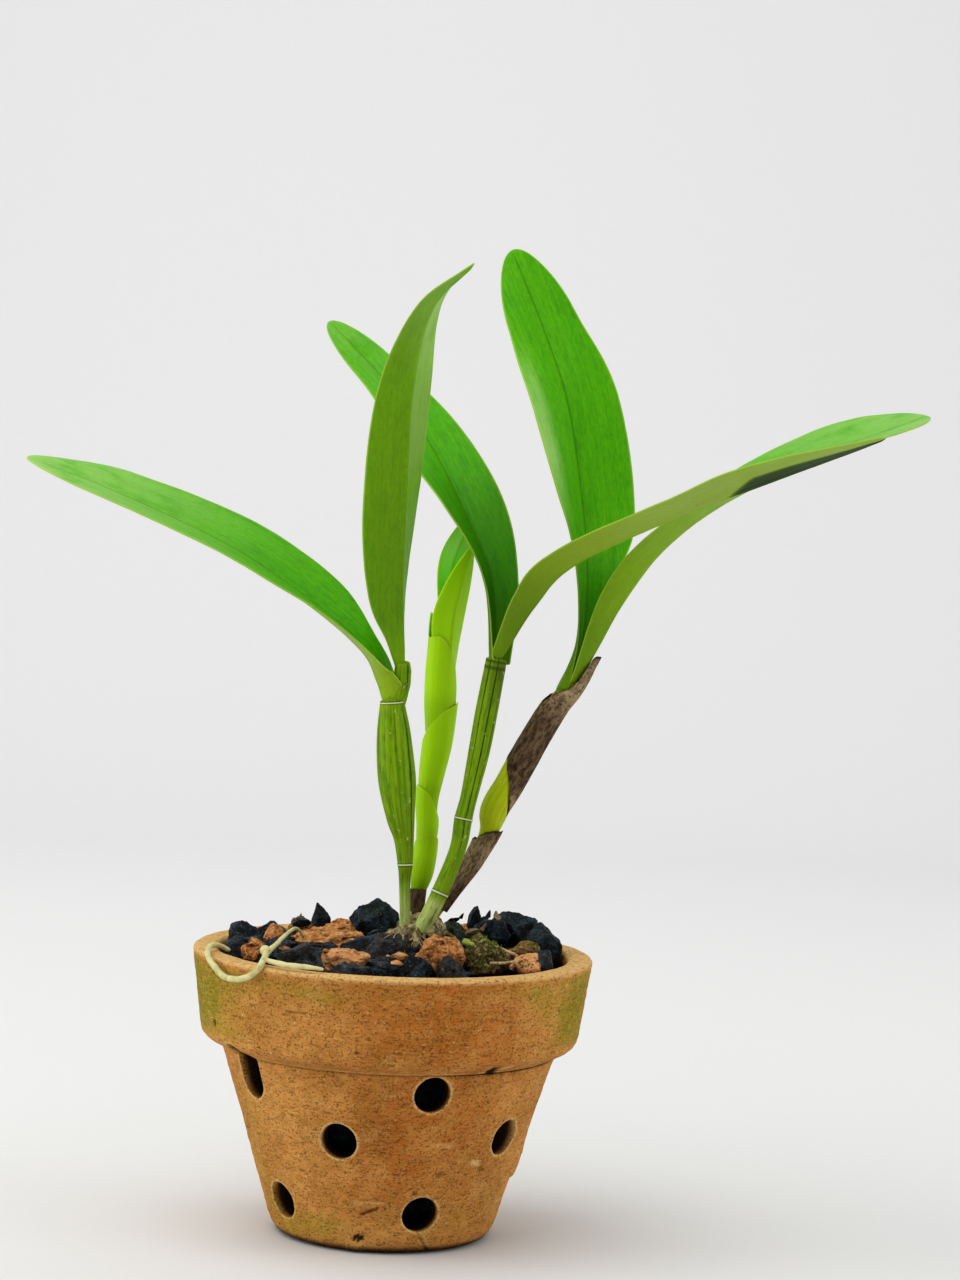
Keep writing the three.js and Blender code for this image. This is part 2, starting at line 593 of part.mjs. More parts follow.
/** Packed charcoal under the surface lumps. */
const makeCore = () => turned([
  [0, 0], [RIM_RADIUS, 0], [RIM_RADIUS, RIM_HEIGHT - 7], [45, RIM_HEIGHT - 4.5], [22, RIM_HEIGHT - 2],
  [0, RIM_HEIGHT - 1.5],
]);

// ---- Assembly -----------------------------------------------------------

const orchid = new THREE.Group();

function addPiece(name, body, material) {
  const mesh = body.getMesh();
  const geometry = new THREE.BufferGeometry();
  geometry.setAttribute('position', new THREE.BufferAttribute(mesh.vertProperties, 3));
  geometry.setIndex(new THREE.BufferAttribute(mesh.triVerts, 1));
  geometry.computeVertexNormals();
  const piece = new THREE.Mesh(geometry, material);
  piece.name = name;
  orchid.add(piece);
}

/** Plant parts by name, each with the same part grown by the gap, to cut its neighbours. */
const plant = {};

function grown(make, neighbours = []) {
  return {
    body: without(make(0), neighbours.map(name => plant[name].clearance)),
    clearance: make(GAP),
  };
}

// Under a sheath the cane leaves room for the sheath and two gaps.
const UNDER_SHEATH = SHEATH_THICKNESS + GAP;
const FACET_ROOM = 0.45; // keeps the cane's flat sides clear of the sheath's corners
const SLIM = 0.15; // the cane is this much thinner where it has no sheath
const rightTrim = share => {
  const station = share * (CANE_RIGHT.length - 1);
  const lower = 1 - smoothstep(station, 3.6, 4.6);
  const upper = smoothstep(station, 4.4, 6.4);
  return (UNDER_SHEATH + FACET_ROOM) * Math.max(lower, upper) + SLIM;
};

plant.rhizome = grown(grow => joined([
  stem(RHIZOME, { steps: 12, sides: 8, grow }),
  ...RHIZOME_ROOTS.map(path => stem(path, { steps: 4, sides: 6, grow })),
]));
plant.cane_left = grown(
  grow => stem(CANE_LEFT, { steps: 16, sides: 2 * LEFT_RIBS, ribs: LEFT_RIBS, depth: LEFT_RIB_DEPTH, grow }),
  ['rhizome'],
);
plant.leaf_stub_left = grown(grow => stem(STUB_LEFT, { steps: 5, sides: 8, grow }), ['cane_left']);
plant.cane_centre = grown(
  grow => stem(CANE_CENTRE, {
    steps: 14, sides: 2 * CENTRE_RIBS, ribs: CENTRE_RIBS, depth: CENTRE_RIB_DEPTH, grow,
  }),
  ['rhizome'],
);
plant.cane_right = grown(
  grow => stem(CANE_RIGHT, { steps: 16, sides: 12, end: CANE_RIGHT_END, grow, trim: rightTrim }),
  ['rhizome'],
);

const LEAF_SEATS = {
  leaf_left_arching: ['cane_left', 'leaf_stub_left'],
  leaf_left_upright: ['leaf_stub_left', 'leaf_left_arching'],
  leaf_centre_leaning: ['cane_centre'],
  leaf_centre_arching: ['cane_centre', 'leaf_centre_leaning'],
  leaf_right_broad: ['cane_right'],
  leaf_right_arching: ['cane_right', 'leaf_right_broad'],
};
for (const [name, seats] of Object.entries(LEAF_SEATS)) {
  plant[name] = grown(grow => blade(LEAVES[name], BLADE_STEPS, grow), seats);
}
for (const [name, shape] of Object.entries(RIGHT_SHEATHS)) {
  plant[name] = grown(
    grow => sleeve(CANE_RIGHT, shape, { rows: 7, sides: 12, grow }),
    ['rhizome', 'cane_centre', 'cane_right', 'leaf_right_broad', 'leaf_right_arching'],
  );
}

// The shoot's bracts lie in each other, so each one starts inside the one below.
const BRACT_NAMES = Object.keys(SHOOT_BRACTS);
const SHOOT_INSIDE = SHOOT.map(([x, y, z, radius]) => [
  x, y, z, Math.max(radius - 2 * UNDER_SHEATH - 0.3, SHOOT_STEM_LEAST),
]);
plant.shoot_stem = grown(
  grow => stem(SHOOT_INSIDE, { steps: 10, sides: 8, end: SHOOT_TOP, grow }),
  ['rhizome'],
);
BRACT_NAMES.forEach((name, order) => {
  const below = SHOOT_BRACTS[BRACT_NAMES[order - 1]]?.to ?? [0, 0];
  const clearAbove = (below[0] + below[1]) / 2;
  const stations = SHOOT.map(([x, y, z, radius], station) => {
    const inside = order === 0 ? 0 : 1 - smoothstep(station, clearAbove - 0.5, clearAbove + 0.7);
    return [x, y, z, radius - UNDER_SHEATH * inside];
  });
  plant[name] = grown(
    grow => sleeve(stations, SHOOT_BRACTS[name], { rows: 4, sides: 10, grow }),
    ['rhizome', 'shoot_stem', ...BRACT_NAMES.slice(0, order)],
  );
});
plant.shoot_leaf_front = grown(
  grow => blade(LEAVES.shoot_leaf_front, SHOOT_BLADE_STEPS, grow),
  ['shoot_stem', 'bract_4', 'bract_5', 'leaf_centre_leaning'],
);
plant.shoot_leaf_back = grown(
  grow => blade(LEAVES.shoot_leaf_back, SHOOT_BLADE_STEPS, grow),
  ['shoot_stem', 'bract_4', 'bract_5', 'shoot_leaf_front', 'leaf_centre_leaning'],
);

plant.aerial_root = grown(grow => joined([
  stem(AERIAL_ROOT_MAIN, { steps: 30, sides: 5, grow }),
  stem(AERIAL_ROOT_FORK, { steps: 7, sides: 5, grow }),
  stem(AERIAL_ROOT_KNOT, { steps: 3, sides: 5, grow }),
]));
for (const [name, { path }] of Object.entries(LOOSE_BITS)) {
  plant[name] = grown(grow => stem(path, { steps: 4, sides: 6, grow }));
}

const cavity = makeCavity();
const plantClearance = Object.values(plant).map(({ clearance }) => clearance);
const bricks = [];
BRICKS.forEach((block, index) => {
  const whole = lump(block, 100 + index).intersect(cavity);
  bricks.push({
    body: without(whole, [...plantClearance, ...bricks.map(({ clearance }) => clearance)]),
    clearance: lump(block, 100 + index, { grow: GAP + 0.15 }),
  });
});

const plainBlocks = surfaceLumps([...CHARCOAL, ...BRICKS]);
const bed = without(
  joined([
    makeCore(),
    ...CHARCOAL.map((block, index) => lump(block, 300 + index)),
    ...plainBlocks.map((block, index) => lump(block, 500 + index, { plain: true })),
  ]).intersect(cavity),
  [...plantClearance, ...bricks.map(({ clearance }) => clearance)],
);

const COLOURS = {
  rhizome: 'rhizome', aerial_root: 'paleRoot', cane_left: 'cane', cane_centre: 'cane', cane_right: 'cane',
  leaf_stub_left: 'cane', sheath_right_lower: 'sheath', sheath_right_upper: 'sheath',
  bract_1_base: 'sheath', bract_2: 'youngLeaf', bract_3: 'youngLeaf', bract_4: 'youngLeaf',
  bract_5: 'youngLeaf', shoot_stem: 'youngLeaf', shoot_leaf_front: 'youngLeaf',
  shoot_leaf_back: 'youngLeaf',
};
addPiece('pot', makePot(), FINISHES.terracotta);
addPiece('charcoal_bed', bed, FINISHES.charcoal);
bricks.forEach(({ body }, index) => {
  addPiece(`brick_chunk_${String(index + 1).padStart(2, '0')}`, body, FINISHES.brick);
});
for (const [name, { body }] of Object.entries(plant)) {
  addPiece(name, body, FINISHES[LOOSE_BITS[name]?.colour ?? COLOURS[name] ?? 'leaf']);
}

export default orchid;
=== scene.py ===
"""Young cattleya orchid in a pierced terracotta pot, planted in charcoal and broken brick.

Shapes are worked out in millimetres in the part's own frame (origin on the pot's axis at the
underside of its base, -Y to the front, +Z up) and turned to metres where a mesh is made.
"""

import json
import math
from functools import partial

import bmesh
import bpy
import numpy as np
from bpy.props import FloatProperty, FloatVectorProperty, IntProperty, PointerProperty
from mathutils import Matrix, Vector, noise
from mathutils.bvhtree import BVHTree

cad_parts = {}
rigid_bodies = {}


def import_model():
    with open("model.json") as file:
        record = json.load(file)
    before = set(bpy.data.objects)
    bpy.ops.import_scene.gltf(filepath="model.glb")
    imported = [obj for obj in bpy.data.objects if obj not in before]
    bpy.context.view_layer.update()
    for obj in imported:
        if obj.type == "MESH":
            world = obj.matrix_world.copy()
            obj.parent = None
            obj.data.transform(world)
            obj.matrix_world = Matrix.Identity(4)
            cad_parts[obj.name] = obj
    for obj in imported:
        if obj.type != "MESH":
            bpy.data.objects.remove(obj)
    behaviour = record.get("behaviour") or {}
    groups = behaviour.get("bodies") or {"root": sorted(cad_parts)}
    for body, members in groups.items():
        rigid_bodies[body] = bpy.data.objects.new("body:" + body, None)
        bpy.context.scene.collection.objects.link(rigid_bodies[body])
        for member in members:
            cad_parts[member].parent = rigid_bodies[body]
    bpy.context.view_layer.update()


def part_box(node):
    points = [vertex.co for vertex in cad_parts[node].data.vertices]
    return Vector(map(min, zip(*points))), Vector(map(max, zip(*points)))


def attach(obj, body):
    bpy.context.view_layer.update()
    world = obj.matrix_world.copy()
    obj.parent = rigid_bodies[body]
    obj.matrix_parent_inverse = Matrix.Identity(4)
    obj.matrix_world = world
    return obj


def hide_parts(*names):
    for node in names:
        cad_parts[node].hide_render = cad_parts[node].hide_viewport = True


bl_info = {
    "name": "Potted cattleya orchid",
    "version": (1, 0, 0),
    "blender": (4, 5, 0),
    "location": "3D View > Sidebar > Orchid",
    "description": "Builds a young cattleya orchid in its pierced terracotta pot",
    "category": "Add Mesh",
}

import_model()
POT_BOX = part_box("pot")

MM = 0.001


def linear(shade):
    """Linear RGBA of an sRGB hex colour; a colour setting is linear already."""
    if not isinstance(shade, str):
        return tuple(shade)
    channels = [int(shade[place:place + 2], 16) / 255 for place in (1, 3, 5)]
    return tuple(c / 12.92 if c <= 0.04045 else ((c + 0.055) / 1.055) ** 2.4 for c in channels) + (1.0,)


# ---- Settings ------------------------------------------------------------


def length(name, description, default):
    """A length that a user may change, in metres."""
    return FloatProperty(name=name, description=description, default=default, unit="LENGTH", precision=4)


def colour(name, description, default):
    """A colour that a user may change, from an sRGB hex value."""
    return FloatVectorProperty(
        name=name, description=description, default=linear(default), size=4, subtype="COLOR", min=0, max=1,
    )


class PotSettings(bpy.types.PropertyGroup):
    rim_radius: length("Rim radius", "Outer radius of the lip", POT_BOX[1].x)
    rim_height: length("Rim height", "Height of the lip", POT_BOX[1].z)
    hole_radius: length("Hole radius", "Radius of the holes in the wall", 0.00675)
    wobble: length("Wobble", "How far the thrown wall strays from round", 0.0003)
    clay: colour("Clay", "Fired clay where it is clean", "#d59a55")
    dust_and_highlight: colour("Worn clay", "Clay where it is rubbed or dusty", "#d9b478")
    algae: colour("Algae", "Algae on damp clay", "#a8932a")


class FillSettings(bpy.types.PropertyGroup):
    crumbs: IntProperty(name="Crumbs", description="Small bits between the lumps", default=520, min=0)
    charcoal: colour("Charcoal", "Broken faces of charcoal", "#04070e")
    brick: colour("Brick", "Broken faces of brick", "#dc9858")
    moss: colour("Moss", "Moss on the lumps", "#4c5426")


class PlantSettings(bpy.types.PropertyGroup):
    margin: length("Leaf margin", "Thickness of a leaf at its margin", 0.0006)
    upper: colour("Upper side", "Grown leaf from above", "#4fa800")
    lower: colour("Under side", "Grown leaf from below", "#689c00")
    young: colour("Young growth", "Bracts and leaves of the new shoot", "#a6d800")
    cane: colour("Cane", "Skin of a grown cane", "#648e00")
    sheath: colour("Dry sheath", "Papery sheath on a grown cane", "#a89070")
    root: colour("Root", "Spongy skin of a root in the air", "#d6cf9c")


class StageSettings(bpy.types.PropertyGroup):
    backdrop: colour("Backdrop", "Paper under and behind the pot", "#dcdcdb")
    key: FloatProperty(
        name="Key light", description="Power of the light overhead; the others follow it",
        default=13, unit="POWER",
    )
    sky: FloatProperty(name="Room light", description="Strength of the light from all round", default=0.62)


# ---- Curves and meshes ---------------------------------------------------


def spline(points, shares):
    """Points of a Catmull-Rom curve at shares (0 to 1) of its stations."""
    points = np.asarray(points, float)
    shares = np.atleast_1d(np.asarray(shares, float))
    through = np.vstack([2 * points[0] - points[1], points, 2 * points[-1] - points[-2]])
    place = np.clip(shares, 0, 1) * (len(points) - 1)
    index = np.minimum(place.astype(int), len(points) - 2)
    t = (place - index)[..., None]
    before, start, end, after = (through[index + step] for step in range(4))
    leave = (end - before) / 2
    arrive = (after - start) / 2
    bend = 3 * (end - start) - 2 * leave - arrive
    turn = 2 * (start - end) + leave + arrive
    return start + leave * t + bend * t**2 + turn * t**3


def unit(vectors):
    """The same directions, each 1 long."""
    return vectors / np.linalg.norm(vectors, axis=-1, keepdims=True)


def tangents(points, shares):
    """Directions of the same curve."""
    step = 1e-4
    ahead = spline(points, np.clip(np.asarray(shares) + step, 0, 1))
    return unit(ahead - spline(points, np.clip(np.asarray(shares) - step, 0, 1)))


def towards(azimuth, elevation):
    """Unit vectors towards azimuths (0 to the front, growing to +X) and elevations in degrees."""
    a, e = np.radians(azimuth), np.radians(elevation)
    return np.stack([np.sin(a) * np.cos(e), -np.cos(a) * np.cos(e), np.sin(e)], -1)


def smoothstep(values, low, high):
    """0 up to low, 1 from high on, and a smooth rise between them."""
    t = np.clip((values - low) / (high - low), 0, 1)
    return t * t * (3 - 2 * t)


def band(values, middle, wide):
    """1 at the middle, falling to 0 on both sides of it."""
    return np.exp(-((values - middle) / wide) ** 2)


def circle(sides):
    """Angles once round, in radians."""
    return np.linspace(0, 2 * math.pi, sides, endpoint=False)


def level_frame(azimuth):
    """Level directions towards an azimuth and across it."""
    flat = towards(azimuth, 0)
    return flat, np.array([-flat[1], flat[0], 0])


def rough(points, size, octaves=4, seed=0.0):
    """Fractal noise at each point, about -1 to 1, with features of about size millimetres."""
    shift = Vector((seed * 7.3, seed * 3.1, seed * 5.7))
    return np.array([noise.fractal(Vector(p) / size + shift, 0.9, 2.1, octaves) for p in points])


def cells(points, size, seed=0.0):
    """Distance to the nearest of a scatter of points about size millimetres apart, 0 to about 1."""
    shift = Vector((seed * 4.7, seed * 9.1, seed * 2.3))
    return np.array([noise.voronoi(Vector(p) / size + shift)[0][0] for p in points])


def seeded(seed):
    """Seeded random numbers from 0 to 1, the same draw as the solids' lumps use."""
    whole = 0xFFFFFFFF
    state = seed

    def draw():
        nonlocal state
        state = (state + 0x6D2B79F5) & whole
        mixed = ((state ^ (state >> 15)) * (state | 1)) & whole
        mixed = ((mixed + ((mixed ^ (mixed >> 7)) * (mixed | 61) & whole)) & whole) ^ mixed
        return (mixed ^ (mixed >> 14)) / 4294967296

    return draw


def grid_faces(rows, sides, loop=False):
    """Quads over rows of points that run round a path; loop joins the last row to the first."""
    row = np.arange(rows if loop else rows - 1)[:, None]
    side = np.arange(sides)[None, :]
    here = row * sides
    ahead = ((row + 1) % rows) * sides
    turned = (side + 1) % sides
    quads = np.stack([here + side, here + turned, ahead + turned, ahead + side], -1)
    return quads.reshape(-1, 4).tolist()


def closed_faces(rows, sides):
    """Faces over rows of points round a path, closed on two more points, its first and its last."""
    first = rows * sides
    end = first - sides
    faces = grid_faces(rows, sides)
    faces += [[first, (side + 1) % sides, side] for side in range(sides)]
    faces += [[first + 1, end + side, end + (side + 1) % sides] for side in range(sides)]
    return faces


def form(points, faces, **layers):
    """A mesh in the making: points in millimetres, faces, and named values at its points."""
    return {"points": np.asarray(points, float), "faces": faces, "layers": layers}


def merged(forms):
    """Several forms as one, each still closed by itself."""
    points, faces, first = [], [], 0
    for one in forms:
        points.append(one["points"])
        faces += [[corner + first for corner in face] for face in one["faces"]]
        first += len(one["points"])
    layers = {
        name: np.concatenate([one["layers"][name] for one in forms]) for name in forms[0]["layers"]
    }
    return form(np.vstack(points), faces, **layers)


def mesh_of(name, made):
    """Blender mesh of a form, in metres, with its layers as attributes and its faces outwards."""
    mesh = bpy.data.meshes.new(name)
    mesh.from_pydata((made["points"] * MM).tolist(), [], made["faces"])
    for layer, values in made["layers"].items():
        vector = values.ndim == 2
        attribute = mesh.attributes.new(layer, "FLOAT_VECTOR" if vector else "FLOAT", "POINT")
        attribute.data.foreach_set("vector" if vector else "value", values.astype(np.float32).ravel())
    work = bmesh.new()
    work.from_mesh(mesh)
    bmesh.ops.recalc_face_normals(work, faces=work.faces)
    work.to_mesh(mesh)
    work.free()
    return mesh


def linked(name, data):
    """A new object in the scene."""
    made = bpy.data.objects.new(name, data)
    bpy.context.scene.collection.objects.link(made)
    return made


def add_piece(name, made, material, nodes=(), sharp=None):
    """The finished piece, from a form or a mesh: it rides on the body, and stands for its CAD nodes."""
    mesh = mesh_of(name, made) if isinstance(made, dict) else made
    mesh.materials.clear()
    mesh.materials.append(material)
    mesh.shade_smooth()
    if sharp:
        mesh.set_sharp_from_angle(angle=math.radians(sharp))
    piece = linked(name, mesh)
    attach(piece, "root")
    if nodes:
        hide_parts(*nodes)


def applied(name, mesh, kind, **settings):
    """A mesh after one modifier."""
    holder = linked(name, mesh)
    modifier = holder.modifiers.new(kind, kind)
    for setting, value in settings.items():
        setattr(modifier, setting, value)
    graph = bpy.context.evaluated_depsgraph_get()
    result = bpy.data.meshes.new_from_object(holder.evaluated_get(graph))
    bpy.data.objects.remove(holder)
    return result


def points_of(mesh):
    """A mesh's points in millimetres."""
    values = np.empty(len(mesh.vertices) * 3)
    mesh.vertices.foreach_get("co", values)
    return values.reshape(-1, 3) / MM


def place_points(mesh, points):
    """Moves a mesh's points to places in millimetres."""
    mesh.vertices.foreach_set("co", (points * MM).ravel())
    mesh.update()


def normals_of(mesh):
    """A mesh's normals at its points."""
    values = np.empty(len(mesh.vertices) * 3)
    mesh.vertices.foreach_get("normal", values)
    return values.reshape(-1, 3)


def set_layer(mesh, name, values):
    """Gives a mesh a named value at each point."""
    attribute = mesh.attributes.get(name) or mesh.attributes.new(name, "FLOAT", "POINT")
    attribute.data.foreach_set("value", np.asarray(values, np.float32))


# ---- Materials -----------------------------------------------------------


def add_node(tree, kind, links=None, output=None, **settings):
    """Adds a node with its settings, links inputs to values or to other outputs, returns an output."""
    node = tree.nodes.new(kind)
    for setting, value in settings.items():
        setattr(node, setting, value)
    for socket, value in (links or {}).items():
        if isinstance(value, bpy.types.NodeSocket):
            tree.links.new(value, node.inputs[socket])
        else:
            node.inputs[socket].default_value = value
    shown = [socket for socket in node.outputs if socket.enabled]
    return node.outputs[output] if output else next(iter(shown), None)


def pattern(tree, vector, size, low, high, detail=3.0, stretch=(1, 1, 1), seed=0.0):
    """Mask from 0 to 1 with blotches of about size millimetres, drawn out along its axes."""
    scale = tuple(1 / (size * MM * axis) for axis in stretch)
    scaled = add_node(tree, "ShaderNodeVectorMath", {0: vector, 1: scale}, operation="MULTIPLY")
    blotch = add_node(
        tree, "ShaderNodeTexNoise",
        {"Vector": scaled, "W": seed, "Scale": 1.0, "Detail": detail, "Roughness": 0.6},
        noise_dimensions="4D",
    )
    return add_node(
        tree, "ShaderNodeMapRange", {0: blotch, 1: low, 2: high}, interpolation_type="SMOOTHSTEP",
    )


def zone(tree, name, low=0.0, high=1.0):
    """Mask that rises from 0 to 1 as a named measure of the mesh goes from low to high."""
    measure = add_node(tree, "ShaderNodeAttribute", attribute_name=name)
    return add_node(
        tree, "ShaderNodeMapRange", {0: measure, 1: low, 2: high}, interpolation_type="SMOOTHSTEP",
    )


def new_material(name, along=None):
    """A material, its tree and two makers of masks: patches of a pattern, and where a measure is high.

    The pattern lies in the piece's own place, or along a named measure of its mesh.
    """
    material = bpy.data.materials.new(name)
    material.use_nodes = True
    tree = material.node_tree
    tree.nodes.clear()
    if along:
        place = add_node(tree, "ShaderNodeAttribute", attribute_name=along)
    else:
        place = add_node(tree, "ShaderNodeTexCoord", output="Object")
    return material, tree, partial(pattern, tree, place), partial(zone, tree)


def layered(tree, base, *coats):
    """A colour with coats over it. A coat is its colour, its strength and the masks that hold it back."""
    for shade, strength, *masks in coats:
        cover = strength
        for mask in masks:
            cover = add_node(tree, "ShaderNodeMath", {0: mask, 1: cover}, operation="MULTIPLY")
        base = add_node(
            tree, "ShaderNodeMix", {0: cover, 6: base, 7: linear(shade)}, data_type="RGBA",
        )
    return base


def finished(tree, base, roughness, ridges, **constants):
    """Shader from a colour, a roughness (mask, least, most) and ridges (mask, millimetres)."""
    height = 0.0
    for mask, tall in ridges:
        height = add_node(tree, "ShaderNodeMath", {0: mask, 1: tall, 2: height}, operation="MULTIPLY_ADD")
    normal = add_node(tree, "ShaderNodeBump", {"Distance": MM, "Height": height})
    mask, least, most = roughness
    dull = add_node(tree, "ShaderNodeMapRange", {0: mask, 3: least, 4: most})
    shader = add_node(
        tree, "ShaderNodeBsdfPrincipled",
        {"Base Color": base, "Roughness": dull, "Normal": normal, **constants},
    )
    add_node(tree, "ShaderNodeOutputMaterial", {"Surface": shader})


def fired_clay(settings):
    """Earthenware, thrown on a wheel and fired low: dull ochre, with sand pits and throwing lines.

    Damp keeps algae on it and handling rubs its edges pale; its foot is darker towards the bottom, and its
    holes, its inside, the line under its collar and its front carry painted shade.
    """
    material, tree, patches, where = new_material("earthenware_thrown")
    blotches = patches(24, 0.38, 0.64, seed=1)
    clouds = patches(6, 0.46, 0.68, detail=5, stretch=(1.6, 1.6, 1), seed=2)
    # Throwing lines run level round the pot about 1 mm apart.
    lines = patches(0.9, 0.36, 0.68, detail=4, stretch=(9, 9, 1), seed=3)
    # Pits and drag marks of sand are 0.3 mm wide; drawn at 0.8 mm, so that they show.
    drags = patches(0.75, 0.58, 0.67, detail=3, stretch=(3.5, 3.5, 1), seed=4)
    pits = patches(0.85, 0.56, 0.64, detail=2, seed=5)
    grains = patches(0.9, 0.60, 0.68, detail=2, stretch=(1.6, 1.6, 1), seed=13)
    mottle = patches(2.6, 0.40, 0.60, detail=6, stretch=(1.5, 1.5, 1), seed=14)
    holes = patches(2.0, 0.71, 0.75, detail=4, stretch=(1.5, 1.5, 1), seed=6)
    grit = patches(1.5, 0.69, 0.73, detail=2, seed=7)
    sand = patches(0.6, 0.2, 0.8, detail=4, seed=8)
    film = patches(3.0, 0.30, 0.60, detail=6, seed=9)
    base = layered(
        tree, linear(settings.clay),
        # Painted shade on the front of the wall.
        ("#b4631c", 0.9, where("front_shade")),
        ("#8f5a22", 0.45, blotches),
        ("#96611f", 0.34, mottle),
        ("#d3a05a", 0.30, clouds),
        ("#d9a862", 0.22, lines),
        # Rubbed and dusty clay, with a painted highlight along the collar's lower edge.
        (settings.dust_and_highlight, 0.9, where("wear_and_painted_light"), patches(1.8, 0.2, 0.5, seed=10)),
        (settings.algae, 0.85, where("algae", 0, 0.8)),
        ("#6f7616", 0.65, where("algae", 0.1, 0.9), film),
        ("#5b3a12", 0.42, drags),
        ("#53340f", 0.50, pits),
        ("#e6bd7c", 0.42, grains),
        ("#eed3a4", 0.85, grit),
        ("#24150a", 0.9, holes),
        # Stains and the darker foot, with painted shade in the holes, inside the pot and under the collar.
        ("#1c1008", 0.95, where("stain_and_shade")),
    )
    ridges = [
        (lines, 0.1), (sand, 0.1), (pits, -0.2), (holes, -0.4), (drags, -0.2), (grains, 0.1), (grit, 0.1),
    ]
    finished(tree, base, (blotches, 0.8, 0.95), ridges, **{"Specular IOR Level": 0.15})
    return material


def charcoal(settings):
    """Hardwood charcoal, broken by hand: near black, with a painted blue-grey sheen and painted glints on its
    fracture faces, and painted shade in its hollows.
    """
    material, tree, patches, where = new_material("charcoal_broken")
    faces = patches(4, 0.44, 0.62, detail=6, seed=21)
    # Wood pores are 0.3 mm across; drawn at 0.8 mm, so that they show.
    grit = patches(0.8, 0.34, 0.7, detail=5, seed=22)
    base = layered(
        tree, linear(settings.charcoal),
        # Painted sheen on the fracture faces.
        ("#304856", 0.8, faces),
        ("#55483a", 0.8, where("tint"), patches(3, 0.35, 0.6, detail=5, seed=23)),
        # Painted glints.
        ("#98a4aa", 0.4, patches(1.1, 0.58, 0.70, detail=4, seed=24)),
        # Painted shade in the hollows.
        ("#050607", 0.85, where("hollow")),
        ("#55622a", 0.85, where("moss"), patches(1.5, 0.36, 0.56, seed=25)),
    )
    finished(tree, base, (grit, 0.35, 0.75), [(grit, 0.4), (faces, 0.3)], **{"Specular IOR Level": 0.26})
    return material


def broken_brick(settings):
    """Crushed red brick: open sandy fracture faces from orange to pale, with painted highlights, and painted
    shade in the crevices and hollows.
    """
    material, tree, patches, where = new_material("brick_crushed")
    blotch = patches(3.2, 0.38, 0.64, detail=5, seed=31)
    # Grog in the clay stands out as grit 0.5 mm across; drawn at 0.7 mm, so that it shows.
    grit = patches(0.7, 0.3, 0.72, detail=6, seed=32)
    crevices = patches(1.9, 0.52, 0.66, detail=8, stretch=(3, 3, 1), seed=36)
    base = layered(
        tree, linear(settings.brick),
        ("#a85f28", 0.65, blotch),
        ("#f2b27a", 0.9, where("tint")),
        # Painted highlights.
        ("#ffcf98", 0.9, patches(1.3, 0.50, 0.64, detail=4, seed=33)),
        # Painted shade in the crevices.
        ("#4c1f06", 0.85, crevices),
        # Painted shade in the hollows.
        ("#2b1a10", 0.95, where("hollow", 0, 0.8)),
        ("#3a261a", 0.6, patches(5, 0.56, 0.68, detail=5, seed=34)),
        # Lumps that stay damp are dull, then mossy, with pale painted highlights on the moss.
        ("#4f432a", 0.75, where("moss", 0.3, 1)),
        (settings.moss, 0.95, where("moss"), patches(1.4, 0.34, 0.58, detail=5, seed=35)),
        ("#b8b080", 0.85, where("moss", 0.3, 1), patches(1.4, 0.52, 0.62, detail=5, seed=37)),
    )
    ridges = [(grit, 0.5), (blotch, 0.3), (crevices, -0.6)]
    finished(tree, base, (grit, 0.85, 1.0), ridges, **{"Specular IOR Level": 0.15})
    return material


def leaf_lamina(settings):
    """Grown cattleya leaf: thick and leathery under a satin wax, with fine veins and a pale margin."""
    material, tree, patches, where = new_material("leaf_lamina", "grain")
    clouds = patches(12, 0.38, 0.66, stretch=(1, 2.6, 1), seed=41)
    deep = patches(3.6, 0.46, 0.70, detail=6, stretch=(1, 2.4, 1), seed=42)
    # Veins run 0.3 mm apart; drawn at 0.8 mm, so that they show.
    veins = patches(0.8, 0.38, 0.64, detail=2, stretch=(1, 70, 1), seed=43)
    mottle = patches(1.0, 0.40, 0.66, detail=4, stretch=(1, 3, 1), seed=44)
    scuffs_and_sheen = patches(7, 0.22, 0.55, stretch=(1, 3, 1), seed=47)
    specks = patches(1.0, 0.62, 0.68, detail=3, seed=46)
    base = layered(
        tree, linear(settings.lower),
        (settings.upper, 1.0, where("side")),
        ("#6cb80c", 0.30, clouds),
        ("#246a00", 0.28, deep),
        ("#8ac81c", 0.18, veins),
        ("#2c7400", 0.26, mottle),
        ("#aebb3c", 0.5, where("pale")),
        # Darker where the tone is below 0, and painted shadow where it is below -1.
        ("#1f5200", 0.75, where("tone", 0, -1)),
        ("#081c00", 0.9, where("tone", -1, -2)),
        # Painted sheen: where the tone is above 0 the wax is painted paler and greyer, in patches.
        ("#b8d888", 0.75, where("tone", 0, 1), scuffs_and_sheen),
        ("#96b810", 0.3, where("rise", 0.14, 0.0)),
        # Painted shade along the midrib's groove on the upper side.
        ("#2c6c00", 0.45, where("edge", 0.035, 0.01), where("side")),
        ("#b9cc5c", 0.45, where("edge", 0.97, 0.995)),
        ("#2e3a0c", 0.85, patches(1.2, 0.71, 0.75, detail=2, seed=45)),
        ("#2e3a0c", 0.7, where("rise", 0.22, 0.02), specks),
    )
    ridges = [(veins, 0.04), (deep, 0.05), (mottle, 0.02)]
    # Light that passes into the leaf comes back a little yellower than its skin.
    finished(tree, base, (clouds, 0.36, 0.5), ridges, **{
        "Subsurface Weight": 0.12, "Subsurface Radius": (0.7, 1.0, 0.1), "Subsurface Scale": 0.0016,
        "Specular IOR Level": 0.13,
    })
    return material


